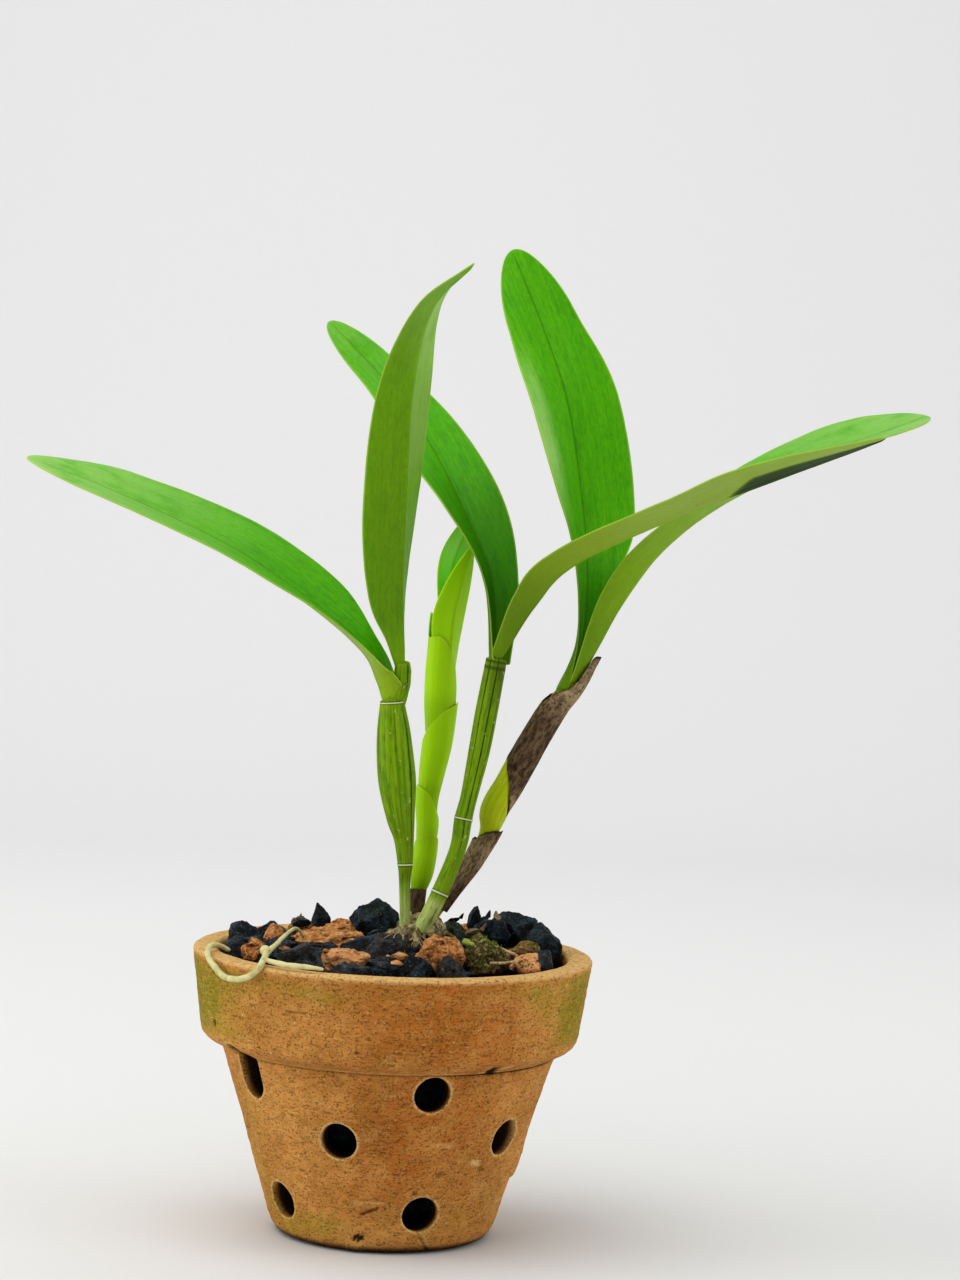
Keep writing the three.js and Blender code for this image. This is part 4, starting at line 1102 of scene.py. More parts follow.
def packed_core(settings):
    """The filling under the surface, lumpy where the holes in the wall show it."""
    heights = np.linspace(FLOOR + 1, BED_TOP - 7, CORE_ROWS)
    wall = np.stack([inner_radius(settings, heights) - CORE_ROOM, heights], -1)
    top = np.array([[45, BED_TOP - 4], [30, BED_TOP - 2.5], [15, BED_TOP - 1], [0, BED_TOP - 1]], float)
    profile = np.vstack([[[0, FLOOR + 1]], wall, top])
    core = lathe(profile, CORE_SIDES)
    points = core["points"]
    flat = np.maximum(np.hypot(points[:, 0], points[:, 1]), 1)
    inward = np.stack([-points[:, 0], -points[:, 1], np.zeros(len(points))], -1) / flat[:, None]
    gaps = smoothstep(cells(points, CORE_LUMP, 3), 0.35, 0.75)
    crags = rough(points, CORE_GRAIN[0], 4, 8)
    core["points"] = points + inward * (CORE_GAP * gaps + CORE_GRAIN[1] * np.abs(crags))[:, None]
    core["layers"] = {
        "tint": 0.5 * smoothstep(rough(points, 12, 2, 9), 0, 0.6),
        "moss": np.zeros(len(points)),
        # Painted shade, deeper in the gaps between its lumps.
        "hollow": 0.5 + 0.5 * gaps,
    }
    return core


def make_bed(settings, material):
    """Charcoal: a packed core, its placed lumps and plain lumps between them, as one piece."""
    lumps = [packed_core(settings)]
    for index, block in enumerate(CHARCOAL):
        brown, moss = CHARCOAL_BROWN.get(index, 0.0), CHARCOAL_MOSS.get(index, 0.0)
        lumps.append(lump(block, 300 + index, *CHARCOAL_GRAIN, brown, moss))
    for index, block in enumerate(surface_lumps([*CHARCOAL, *BRICKS])):
        lumps.append(lump(block, 500 + index, *SURFACE_GRAIN, 0.3 * (index % 3 == 0)))
    made = kept_inside(merged(lumps), settings)
    add_piece("charcoal_filling", made, material, ["charcoal_bed"], sharp=38)


def make_bricks(settings, material):
    """Lumps of broken brick, a piece for each."""
    for index, block in enumerate(BRICKS):
        pale, moss = BRICK_PALE.get(index, 0.0), BRICK_MOSS.get(index, 0.0)
        made = kept_inside(lump(block, 100 + index, *BRICK_GRAIN, pale, moss), settings)
        number = f"{index + 1:02d}"
        add_piece(f"brick_{number}", made, material, [f"brick_chunk_{number}"], sharp=38)


def surface_tree():
    """Search tree over the top of the filling, to lay small things on it."""
    points, faces, first = [], [], 0
    for piece in bpy.context.scene.objects:
        if piece.name.startswith(("charcoal_filling", "brick_")) and not piece.hide_render:
            mesh = piece.data
            points += [v.co.copy() for v in mesh.vertices]
            faces += [[corner + first for corner in polygon.vertices] for polygon in mesh.polygons]
            first += len(mesh.vertices)
    return BVHTree.FromPolygons(points, faces)


def top_at(tree, x, y):
    """Height in millimetres and normal of the filling's surface over a place, or None."""
    place, normal, _, _ = tree.ray_cast(Vector((x, y, 160)) * MM, Vector((0, 0, -1)))
    return None if place is None else (place.z / MM, normal)


CRUMB_REACH = 64
CRUMB_SIZE = (0.6, 3.0)  # least, and how much more at most
CRUMB_HEIGHT = (104, 7)  # where they lie, and how much higher at most
CHARCOAL_SHARE = 0.72


def make_crumbs(tree, settings, material_charcoal, material_brick):
    """Splinters of charcoal and brick in the hollows between the lumps."""
    draw = seeded(41)
    charcoal_bits, brick_bits = [], []
    while len(charcoal_bits) + len(brick_bits) < settings.crumbs:
        turn, reach = 2 * math.pi * draw(), CRUMB_REACH * math.sqrt(draw())
        x, y = reach * math.cos(turn), reach * math.sin(turn)
        size = CRUMB_SIZE[0] + CRUMB_SIZE[1] * draw() ** 3
        kind = draw()
        found = top_at(tree, x, y)
        if found is None:
            continue
        # Crumbs roll off the lumps' tops and stay where it is low.
        if found[0] > CRUMB_HEIGHT[0] + CRUMB_HEIGHT[1] * draw() ** 2 or found[1].z < 0.35:
            continue
        block = (x, y, found[0] + 0.25 * size, size * 1.3, size, size * 0.7)
        seed = 700 + len(charcoal_bits) + len(brick_bits)
        if kind < CHARCOAL_SHARE:
            charcoal_bits.append(lump(block, seed, *CRUMB_GRAIN, 0.6 * (kind < 0.2)))
        else:
            brick_bits.append(lump(block, seed, *CRUMB_GRAIN, 0.7 * (kind > 0.85)))
    for name, bits, material in (
        ("charcoal", charcoal_bits, material_charcoal), ("brick", brick_bits, material_brick),
    ):
        add_piece(f"{name}_crumbs", merged(bits), material, sharp=35)


# Patches of moss: x and y of the middle, spread, and number of blades.
MOSS_PATCHES = [
    (34, -29, 9, 140), (48, -42, 5, 200), (-8, 34, 8, 60), (12, -6, 12, 70), (20, 12, 12, 70),
    (50, -5, 8, 70), (-36, 44, 8, 60), (38, -46, 6, 120),
]
MOSS_HEIGHT = 1.3
MOSS_BLADE = [(0, 0.28), (0.5, 0.2), (1, 0.05)]  # share of the height, and radius


def make_moss(tree, material):
    """Moss in low cushions: short leaning blades stood thickly on the lumps."""
    draw = seeded(43)
    tufts = []
    for middle_x, middle_y, spread, count in MOSS_PATCHES:
        for _ in range(count):
            turn, reach = 2 * math.pi * draw(), spread * math.sqrt(draw())
            x, y = middle_x + reach * math.cos(turn), middle_y + reach * math.sin(turn)
            found = top_at(tree, x, y)
            lean = (draw() - 0.5, draw() - 0.5)
            tall = MOSS_HEIGHT * (0.4 + 0.6 * draw())
            if found is None:
                continue
            foot = np.array([x, y, found[0] - 0.2])
            tip = foot + np.array([lean[0] * tall, lean[1] * tall, tall])
            rings = []
            for share, wide in MOSS_BLADE:
                middle = foot + (tip - foot) * share
                rings.append([
                    middle + wide * np.array([math.cos(a), math.sin(a), 0]) for a in np.radians([0, 120, 240])
                ])
            faces = grid_faces(3, 3) + [[0, 2, 1], [6, 7, 8]]
            tufts.append(form(np.vstack(rings), faces))
    add_piece("moss_cushions", merged(tufts), material)


# ---- Stems, roots and sheaths --------------------------------------------


def stem_frame(stations, shares):
    """Middle of a stem, its two directions across, its direction along and its radius."""
    stations = np.asarray(stations, float)
    along = tangents(stations[:, :3], shares)
    right = unit(np.cross([0, 1, 0], along))
    back = np.cross(along, right)
    values = spline(stations, shares)
    return values[:, :3], right, back, along, values[:, 3]


def arc_lengths(points):
    """How far along a path each of its points is."""
    steps = np.linalg.norm(np.diff(points, axis=0), axis=1)
    return np.concatenate([[0], np.cumsum(steps)])


CAP_NARROWING = 0.35  # share of its radius that a stem loses at its very ends


def tube(stations, rows, sides, shape=None, start=0.0, end=1.0, cap=0.6, seed=0.0):
    """Closed stem along its stations. shape(share, angle, radius) gives its radius and its layers."""
    shares = np.linspace(start, end, rows)
    middle, right, back, _, radius = stem_frame(stations, shares)
    angle = circle(sides)
    share_grid, angle_grid = np.meshgrid(shares, angle, indexing="ij")
    radii = np.repeat(radius[:, None], sides, 1)
    layers = {}
    if shape:
        radii, layers = shape(share_grid, angle_grid, radii)
    travel = arc_lengths(middle)
    for near_end in (travel, travel[-1] - travel):
        # The ends are rounded off over the length of the cap.
        inside = np.clip(1 - near_end / max(cap, 1e-6), 0, 1)
        radii = radii * (1 - CAP_NARROWING * (1 - np.sqrt(1 - inside**2)))[:, None]
    points = (
        middle[:, None] + radii[..., None] * np.cos(angle_grid)[..., None] * right[:, None]
        + radii[..., None] * np.sin(angle_grid)[..., None] * back[:, None]
    ).reshape(-1, 3)
    points = np.vstack([points, middle[0], middle[-1]])
    grain = np.stack([
        np.cos(angle_grid) * radius.mean() * MM, np.repeat(travel[:, None], sides, 1) * MM,
        np.sin(angle_grid) * radius.mean() * MM,
    ], -1).reshape(-1, 3)
    grain = np.vstack([grain, grain[:1], grain[-1:]]) + np.array([0, 0, seed])
    flat = {}
    for name, values in layers.items():
        values = values.ravel()
        flat[name] = np.concatenate([values, values[:1], values[-1:]])
    return form(points, closed_faces(rows, sides), grain=grain, **flat)


def ribbed(count, depth, rings, belly, dark=((0, 0), (1, 0)), foot=(-1, 0), seed=0.0):
    """Shape of a cane with rounded lengthwise ribs and raised rings at its nodes.

    Its ribs are full over its belly, it is dark along its length as given, and its foot is dry
    up to where that range of its length ends.
    """

    def shape(share, angle, radius):
        drift = 0.35 * np.sin(5 * share + 2 * np.sin(angle)) + 0.5 * np.sin(3 * angle + seed)
        furrow = band(np.sin((count * angle + drift) / 2), 0, 0.2)
        # Some furrows are deep and others faint.
        furrow = furrow * (0.3 + 0.7 * smoothstep(np.sin(2 * angle + 1.7 * share + seed + 1), -0.8, 0.6))
        swell = smoothstep(share, belly[0], belly[0] + 0.18) * smoothstep(-share, -belly[1], -belly[1] + 0.14)
        groove = furrow * (0.25 + 0.75 * swell)
        ring = np.zeros_like(radius)
        for place, tall, wide in rings:
            bulge = band(share, place, wide)
            # A low ring is dark, and a tall one has a pale, dry edge.
            ring = np.maximum(ring, bulge * min(1, tall / 0.2))
            radius = radius + tall * bulge
        radius = radius - depth * groove * (1 - ring) + 0.35 * depth * swell
        radius = radius + 0.05 * np.sin(19 * share + 2 * angle)
        dull = np.interp(share, *zip(*dark)) * (0.7 + 0.3 * np.sin(angle + 2 * share))
        dry = 1 - smoothstep(share, *foot)
        return radius, {"groove": groove * (1 - ring), "ring": ring, "dark": dull * (1 - dry), "foot": dry}

    return shape


def margin_line(corners, angles):
    """Smooth closed line through corners (degrees, station) at angles in degrees."""
    degrees, stations = np.array(corners, float).T
    line = np.interp(angles, degrees, stations, period=360)
    for _ in range(3):
        line = (np.roll(line, 1) + 2 * line + np.roll(line, -1)) / 4
    return line


RIM_THINNING = 0.55  # share of its thickness that a sleeve loses at its rim


def sleeve(stations, wrap, rows, sides, thickness, wrinkle=0.0, ragged=0.0, seed=1):
    """Sleeve round a stem, from its foot line to its rim line; it bulges and flares to one side."""
    last = len(stations) - 1
    angle = circle(sides)
    ring = np.stack([np.cos(angle) * 5, np.sin(angle) * 5, np.full(sides, seed * 3.0)], -1)
    tear = ragged * rough(ring, 1.3, 4, seed)
    start = margin_line(wrap["foot"], np.degrees(angle)) + 0.5 * tear
    stop = margin_line(wrap["rim"], np.degrees(angle)) + tear
    rise = np.linspace(0, 1, rows)[:, None]
    shares = np.minimum((start + (stop - start) * rise) / last, 1)
    facing = (1 + np.cos(angle - math.radians(wrap["side"]))) / 2
    stand = wrap["bulge"] * np.sin(math.pi * rise) * facing**2 + wrap["flare"] * facing**3 * rise**4
    middle, right, back, _, radius = (
        values.reshape(rows, sides, -1) for values in stem_frame(stations, shares.ravel())
    )
    radius = radius[..., 0] + stand
    east, north = np.tile(np.cos(angle) * 4, (rows, 1)), np.tile(np.sin(angle) * 4, (rows, 1))
    spots = np.stack([east, north, shares * last * 0.8], -1).reshape(-1, 3)
    folds = rough(spots, 1.1, 3, seed + 2).reshape(rows, sides)
    ribs = np.sin(17 * angle + 3 * np.sin(2 * angle))
    radius = radius + wrinkle * (folds + 0.15 * ribs)
    turn = np.cos(angle)[:, None] * right + np.sin(angle)[:, None] * back
    outer = middle + radius[..., None] * turn
    thin = thickness * (1 - RIM_THINNING * smoothstep(rise, 0.8, 1.0))
    inner = middle + (radius - thin)[..., None] * turn
    points = np.concatenate([outer, inner[::-1]]).reshape(-1, 3)
    faces = grid_faces(2 * rows, sides, loop=True)
    grain = np.stack([east, shares * last * 10, north], -1) * MM
    edge = np.repeat(rise, sides, 1)
    return form(
        points, faces, grain=np.concatenate([grain, grain[::-1]]).reshape(-1, 3),
        edge=np.concatenate([edge, edge[::-1]]).ravel(),
        dark=np.tile(np.interp(shares * last, *zip(*wrap["dark"])).ravel(), 2),
    )


# ---- Leaves --------------------------------------------------------------

# Half section of a blade from petiole to tip: its slope beside the midrib and at the margin.
FOLD = [(11, 74), (30, 46), (32, 31), (25, 18), (17, 11), (9, 7)]
BLADE_THICKNESS = 2
BLADE_THINNING = 0.35
BLADE_STOUTNESS = 0.45
BLADE_LEAST = 0.12  # half width at the very tip
RIPPLE_SIZE = 26
FINE_RIPPLE = (7, 0.1)  # size and height
CREASE_WIDTH = 0.045  # as a share of half the width
CREASE_DEPTH = 0.28
KEEL_HEIGHT = 0.42
MARGIN_REACH = 0.45  # how far a margin is rounded, in its own thickness

# Leaves. A station is x, y, z on the midrib, the azimuth and elevation that the upper side
# looks towards, and half the blade's width. rounding is the tip's share of the length, gutter the
# petiole's own slope at the margin, and wave how far the blade ripples. pale is the bloom on the
# under side, and deep the greener upper side of a young leaf. tone runs along the leaf, as pairs
# of share and tone: above 0 the wax is painted paler and greyer as a painted sheen, and down to -2
# the leaf is dark, below -1 as painted shadow. strip is more tone along one side of a face: the
# side (1 to the front of a leaf that arches right), where across the blade it starts at each share,
# how soft its start is, and its tone. It is on the under side, or on the upper with strip_above.
# A raised strip is a painted sheen; the centre arching leaf's strip, which lowers the tone, is
# painted shadow on the half of its under side that faces down.
LEAVES = {
    "leaf_left_arching": {
        "rounding": 0.14, "gutter": 110, "wave": 0.16, "pale": 0.8,
        "tone": [(0, 0.05), (0.3, 0), (0.6, 0.3), (1, 0.6)],
        "stations": [
            (-6.2, 0.5, 199, 122, 15, 8.3), (-9.6, 0.8, 209, 88, 26, 8.4), (-16, 1.5, 219.5, 54, 38, 7.2),
            (-36, 9, 235, 40, 54, 15.5), (-69, 20, 255, 33, 59, 18), (-112, 32, 273, 32, 63, 16),
            (-149, 42, 286, 31, 65, 9),
        ],
    },
    "leaf_left_upright": {
        "rounding": 0.1, "wave": 0.12, "pale": 0.3,
        "tone": [(0, -0.35), (0.3, -0.2), (0.6, 0), (0.85, 0.35), (1, 0.3)],
        "strip": (-1, [(0, 0), (1, 0)], 0.04, [(0, 0.35), (1, 0.4)]),
        "stations": [
            (-1, -2, 213.5, -129, 6, 2.6), (-1.9, -4.5, 224, -130, 8.5, 5.6),
            (-3, -9, 241, -132, 12, 12), (-3, -22, 274, -134, 15, 15.5),
            (-2, -37, 316, -138, 21, 13), (4, -51, 345, -120, 34, 8), (18, -67, 360.5, -98, 44, 5),
        ],
    },
    "leaf_centre_leaning": {
        "rounding": 0.14, "wave": 0.12, "pale": 0.1,
        "tone": [(0, -0.85), (0.35, -0.5), (0.6, 0), (0.85, 0.25), (1, 0.3)],
        "stations": [
            (33.4, 3.2, 215.5, 44, 13, 6.2), (31, 10, 245, 38, 23, 10.5), (21, 22, 270, 27, 37, 15.5),
            (7, 41, 296, 3, 39, 13.5), (-11, 60, 320, -3, 36, 9), (-36, 80, 345, -6, 34, 6.5),
        ],
    },
    "leaf_centre_arching": {
        "rounding": 0.16, "wave": 0.14, "pale": 1.0,
        "tone": [(0, -0.8), (0.2, -0.4), (0.35, 0.0), (0.5, 0.3), (1, 0.3)],
        "strip": (
            -1, [(0.46, 1.1), (0.6, 0.35), (0.72, -0.45), (1, -0.45)], 0.06,
            [(0.5, -1.6), (0.68, -2), (1, -2)],
        ),
        "stations": [
            (34.8, -0.2, 218, -119, 29, 3.4), (47, -8, 240, -117, 39, 9), (61, -18, 256, -97, 57, 13),
            (99, -30, 276, -104, 65, 15), (127, -41, 288, -123, 67, 18), (169, -52, 306, -113, 68, 8.5),
        ],
    },
    "leaf_right_broad": {
        "rounding": 0.14, "gutter": 105, "wave": 0.14, "pale": 0.0,
        "tone": [(0, -0.9), (0.18, -0.6), (0.35, -0.1), (0.5, 0), (1, 0.05)],
        "strip": (
            -1, [(0, 0.62), (1, 0.62)], 0.22, [(0, 0), (0.3, 0.2), (0.5, 0.7), (0.66, 0.5), (0.8, 0), (1, 0)],
        ),
        "strip_above": True,
        "stations": [
            (58.4, 4.4, 207, 75, 8, 5.8), (65.2, 8.8, 224, 44, 12, 5.6), (67, 15, 247, 36, 17, 9.5),
            (65.5, 24, 271, 40, 17, 20.5), (58, 35, 315, 25, 21, 20.4), (48, 47, 344, 4, 23, 14.3),
            (35, 58, 375, -16, 13, 10),
        ],
    },
    "leaf_right_arching": {
        "rounding": 0.12, "wave": 0.12, "pale": 0.6,
        "tone": [(0, -0.7), (0.15, -0.3), (0.3, 0.2), (0.6, 0.3), (1, 0.5)],
        "stations": [
            (64, 1.4, 209.5, -113, 25, 2.2), (81, -2, 244, -116, 29, 9.5), (98, 1, 266, -104, 44, 10),
            (125, 12, 285, -70, 62, 14), (164, 23, 303, -52, 66, 20), (197, 33, 316.5, -46, 66, 14),
        ],
    },
}
SHOOT_LEAVES = {
    "shoot_leaf_front": {
        "rounding": 0.3, "wave": 0.15, "pale": 0, "deep": 0.9, "tone": [(0, 0), (1, 0)],
        "stations": [
            (15.6, 21.5, 194, -152, 4, 3.6), (16.6, 21, 211, -151, 4, 5.4), (17.1, 21, 230, -150, 4, 7.4),
            (19.4, 22, 243, -148, 5, 6), (23.8, 24, 259, -148, 8, 3.4),
        ],
    },
    "shoot_leaf_back": {
        "rounding": 0.3, "wave": 0.15, "pale": 0, "deep": 1.0,
        "tone": [(0, 0), (0.6, 0.05), (0.8, 0.45), (1, 0.3)],
        "stations": [
            (13.6, 26, 196, 48, 4, 3.8), (13.8, 26.5, 214, 48, 4, 5.2), (14.4, 28, 234, 44, 5, 7.8),
            (16.3, 32, 252, 38, 10, 8), (23, 38, 271, 35, 18, 4.6),
        ],
    },
}


def blade(leaf, margin, rows=110, tip_rows=26, half_facets=16, seed=0):
    """Leaf blade, folded along its midrib, keeled below, with a rounded tip and thin margins."""
    stations = np.array(leaf["stations"], float)
    rounding = leaf["rounding"]
    turn = np.linspace(0, math.pi / 2, tip_rows + 1)[1:]
    shares = np.concatenate([np.linspace(0, 1 - rounding, rows), 1 - rounding + rounding * np.sin(turn)])
    narrowing = np.concatenate([np.ones(rows), np.cos(turn)])
    middle = spline(stations[:, :3], shares)
    along = tangents(stations[:, :3], shares)
    face = spline(towards(stations[:, 3], stations[:, 4]), shares)
    face = unit(face - (face * along).sum(1, keepdims=True) * along)
    side = np.cross(along, face)
    half = np.maximum(spline(stations[:, 5:], shares)[:, 0] * narrowing, BLADE_LEAST)
    fold = np.array(FOLD, float)
    fold[0, 1] = leaf.get("gutter", fold[0, 1])
    keel, edge_slope = np.radians(spline(fold, shares)).T
    travel = arc_lengths(middle)
    rise = travel / travel[-1]
    facet = np.arange(-half_facets, half_facets + 1) / half_facets
    out, hand = np.abs(facet), np.sign(facet)
    slope = keel[:, None] + (edge_slope - keel)[:, None] * out
    spread = (half / (edge_slope - keel))[:, None]
    across = hand * spread * (np.sin(slope) - np.sin(keel)[:, None])
    lift = spread * (np.cos(keel)[:, None] - np.cos(slope))
    spots = np.stack([
        np.repeat(travel[:, None], len(facet), 1), facet * half[:, None] * 0.8,
        np.full((len(shares), len(facet)), seed * 9.0),
    ], -1).reshape(-1, 3)
    ripple = rough(spots, RIPPLE_SIZE, 3, seed).reshape(len(shares), -1)
    fine = rough(spots * np.array([0.5, 1.6, 1]), FINE_RIPPLE[0], 3, seed + 5).reshape(len(shares), -1)
    lift = lift + leaf["wave"] * ripple * out**1.5 * np.minimum(half, 12)[:, None] / 9
    lift = lift + FINE_RIPPLE[1] * fine
    body = np.minimum(BLADE_THICKNESS * (1 - BLADE_THINNING * shares), BLADE_STOUTNESS * half)[:, None]
    depth = np.maximum(body + (margin - body) * out**2, margin * 0.8) / 2
    crease = band(out, 0, CREASE_WIDTH) * np.minimum(half, 6)[:, None] / 6
    lean = np.where(facet == 0, 0, -hand) * np.sin(slope)
    stand = np.where(facet == 0, 1 / np.cos(keel)[:, None], np.cos(slope))

    def face_points(sign, thick):
        return (
            middle[:, None] + (across + sign * lean * thick)[..., None] * side[:, None]
            + (lift + sign * stand * thick)[..., None] * face[:, None]
        )

    upper = face_points(1, depth - CREASE_DEPTH * crease)
    lower = face_points(-1, depth + KEEL_HEIGHT * crease * (1 - 0.7 * rise)[:, None])
    edges = []
    for column, way in ((-1, 1), (0, -1)):
        outwards = way * np.cos(slope[:, column]) * margin * MARGIN_REACH
        upwards = np.sin(slope[:, column]) * margin * MARGIN_REACH
        edges.append(
            middle + (across[:, column] + outwards)[:, None] * side
            + (lift[:, column] + upwards)[:, None] * face
        )
    ring = np.concatenate([upper, edges[0][:, None], lower[:, ::-1], edges[1][:, None]], 1)
    count, sides = ring.shape[:2]
    wide = len(facet)
    points = ring.reshape(-1, 3)
    faces = grid_faces(count, sides)
    for first, flip in ((0, False), ((count - 1) * sides, True)):
        for column in range(wide - 1):
            opposite = first + sides - 2 - column
            quad = [first + column, first + column + 1, opposite - 1, opposite]
            faces.append(quad[::-1] if flip else quad)
        faces.append([first + wide - 1, first + wide, first + wide + 1])
        faces.append([first + sides - 2, first + sides - 1, first])
    over = np.concatenate([facet, [1.0], facet[::-1], [-1.0]])
    grain = np.stack([
        over * half[:, None] * MM, np.repeat(travel[:, None], sides, 1) * MM,
        np.full((count, sides), seed * 0.05),
    ], -1).reshape(-1, 3)
    above = np.tile(np.concatenate([np.ones(wide), [0.5], np.zeros(wide), [0.5]]), count)
    below = 1 - above
    edge = np.maximum(np.abs(over), smoothstep(rise, 0.985, 1.0)[:, None]).ravel()
    # A strip along one side of a face has a tone of its own.
    way, starts, soft, strip_tone = leaf.get("strip", (1, [(0, 0), (1, 0)], 1, [(0, 0), (1, 0)]))
    start = np.interp(rise, *zip(*starts))[:, None]
    strip = smoothstep(way * over, start - soft, start + soft)
    strip = strip * np.interp(rise, *zip(*strip_tone))[:, None]
    strip = strip.ravel() * (above if leaf.get("strip_above") else below)
    return form(
        points, faces, grain=grain, side=above, edge=edge, rise=np.repeat(rise, sides),
        pale=leaf["pale"] * below, deep=leaf.get("deep", 0.0) * above,
        tone=np.repeat(np.interp(rise, *zip(*leaf["tone"])), sides) + strip,
    )


# ---- Canes and the shoot -------------------------------------------------

CANE_LEFT = [
    (4.1, -4, 113, 2), (3.9, -4, 121.6, 2), (3.3, -3, 132.8, 2.2), (3.2, -3, 139.2, 2.8),
    (2.3, -2, 149.1, 3.6), (0.7, -2, 157.2, 5.2), (-1, -1, 169.4, 6.8), (-2.5, 0, 181.4, 6.6),
    (-3.5, 0, 191.5, 5.8), (-4.4, 0, 201.3, 4.4),
]
STUB_LEFT = [(-2.2, 0, 199, 2.8), (-1.2, 0, 206, 3.3), (-0.8, -1, 211, 3.2), (-1, -2, 215.4, 2.8)]
CANE_CENTRE = [
    (9, -6, 113, 3), (12.4, -6, 120.2, 3), (16.5, -5, 129.1, 3.3), (22.6, -3, 145.9, 3),
    (24.3, -2, 157.4, 3.2), (26.2, -1, 166.4, 3.1), (29.1, 0, 182.7, 3.8), (31.5, 1, 199.3, 4.1),
    (34.3, 1, 218.4, 3.8),
]
CANE_RIGHT = [
    (13, 16, 114, 3), (20.1, 15, 125.6, 3), (23.6, 14, 131.6, 3.4), (28.9, 12, 140.5, 3.8),
    (34.2, 10, 152, 4.4), (36.3, 9, 160.9, 5.5), (41.2, 8, 170, 5.7), (46, 7, 179.8, 5.7),
    (51.9, 6, 191.5, 5.5), (57.5, 5, 201.3, 5.1), (61.7, 4, 207.2, 4.9), (65.4, 3, 213.5, 4.2),
    (68, 3, 219, 3.5), (70.6, 3, 225, 3),
]
CANE_RIGHT_END = 10.7 / 13
SHOOT = [
    (8, 24, 113, 3.1), (8.4, 24, 124, 3.3), (9, 24, 134.4, 3.7), (11.1, 24, 148, 4.4),
    (10.9, 24, 161.5, 4.6), (12, 24, 173.1, 5), (13.4, 24, 184.7, 5.7), (13.9, 24, 198.9, 6.1),
    (13.8, 24, 211.5, 5.9), (14.2, 24, 225, 5.2), (14.6, 24, 238, 4.6),
]
SHOOT_TOP = 0.66
SHOOT_STEM_LEAST = 0.9
UNDER_SHEATH = 1.15
FACET_ROOM = 0.2
# Foot and rim lines are corners of an angle (0 to +X, 90 to the back) and a station of the stem.
# side is the angle to which a wrap bulges and flares, and dark is how dark it is at stations.
RIGHT_SHEATHS = {
    "sheath_right_lower": {
        "foot": [(0, 0.6)], "side": 0, "bulge": 0.2, "flare": 0.7,
        "dark": [(0.6, 0.9), (2.4, 0.5), (3.4, 0.2), (4.2, 0.7)],
        "rim": [
            (0, 4.18), (40, 4.0), (120, 3.6), (188, 3.58), (223, 3.69), (245, 3.93), (274, 4.09), (308, 4.17),
        ],
    },
    "sheath_right_upper": {
        "foot": [
            (0, 4.5), (40, 4.3), (120, 5.4), (180, 7.0), (221, 6.6), (239, 6.42), (271, 6.04), (296, 5.69),
            (328, 5.34), (348, 5.06),
        ],
        "rim": [
            (0, 12.5), (20, 12.1), (60, 10.6), (120, 9.4), (180, 8.8), (209, 8.91), (223, 9.27), (242, 9.71),
            (272, 10.3), (282, 10.8), (290, 11.7), (300, 12.3), (320, 12.5),
        ],
        "side": -10, "bulge": 0, "flare": 1.6,
        "dark": [(4.8, 0.0), (5.6, 0.1), (6.3, 0.9), (8.0, 1.0), (9.2, 0.35), (10.2, 0.0), (11, 0.4)],
    },
}
SHOOT_BRACTS = {
    "bract_1_base": {
        "foot": [(0, 0.5)], "rim": [(0, 1.3), (90, 1.15), (180, 1.3), (270, 1.36)],
        "side": 0, "bulge": 0, "flare": 0, "dark": [(0, 1.0), (1, 1.0)],
    },
    "bract_2": {
        "foot": [(0, 1.05)], "side": 0, "bulge": 1.7, "flare": 0.5,
        "dark": [(1, 0.8), (1.8, 0.35), (2.5, 0.15), (3.1, 0.4)],
        "rim": [
            (0, 2.78), (30, 2.6), (90, 2.4), (160, 2.5), (205, 2.85), (245, 2.96), (269, 3.05), (298, 3.08),
            (330, 2.98),
        ],
    },
    "bract_3": {
        "foot": [(0, 2.3)], "side": 180, "bulge": 0.1, "flare": 0.3,
        "dark": [(2.3, 0.5), (3.1, 0.25), (3.6, 0.0), (4.4, 0.05)],
        "rim": [
            (0, 3.4), (60, 3.6), (120, 4.2), (180, 4.45), (224, 4.42), (264, 4.28), (295, 4.04), (308, 3.83),
            (340, 3.5),
        ],
    },
    "bract_4": {
        "foot": [(0, 3.6)], "side": -10, "bulge": 0.2, "flare": 0.9,
        "dark": [(3.6, 0.5), (4.4, 0.35), (4.9, 0.0), (7, 0.05)],
        "rim": [
            (0, 7.08), (30, 6.8), (90, 6.2), (150, 5.7), (180, 5.76), (206, 6.1), (245, 6.48), (286, 6.82),
            (347, 7.05),
        ],
    },
    "bract_5": {
        "foot": [(0, 6.2)], "side": 170, "bulge": 0, "flare": 0.9,
        "dark": [(6.2, 0.4), (7.0, 0.3), (7.6, 0.0), (8.8, 0.05), (9.15, 0.5), (9.7, 0.7)],
        "rim": [
            (0, 7.62), (40, 7.9), (95, 8.9), (102, 9.1), (122, 9.43), (150, 9.6), (170, 9.67), (182, 9.4),
            (192, 8.9), (250, 8.98), (276, 8.9), (301, 8.64), (333, 8.18),
        ],
    },
}
# How dark the canes' skin is along them.
LEFT_DARK = [(0, 0.9), (0.3, 0.7), (0.45, 0.45), (0.7, 0.15), (1, 0.15)]
CENTRE_DARK = [(0, 0.55), (0.25, 0.5), (0.45, 0.35), (0.7, 0.15), (0.86, 0.3), (0.97, 0.75), (1, 0.4)]
BRACT_THICKNESS = 0.7
SHEATH_THICKNESS = 0.5


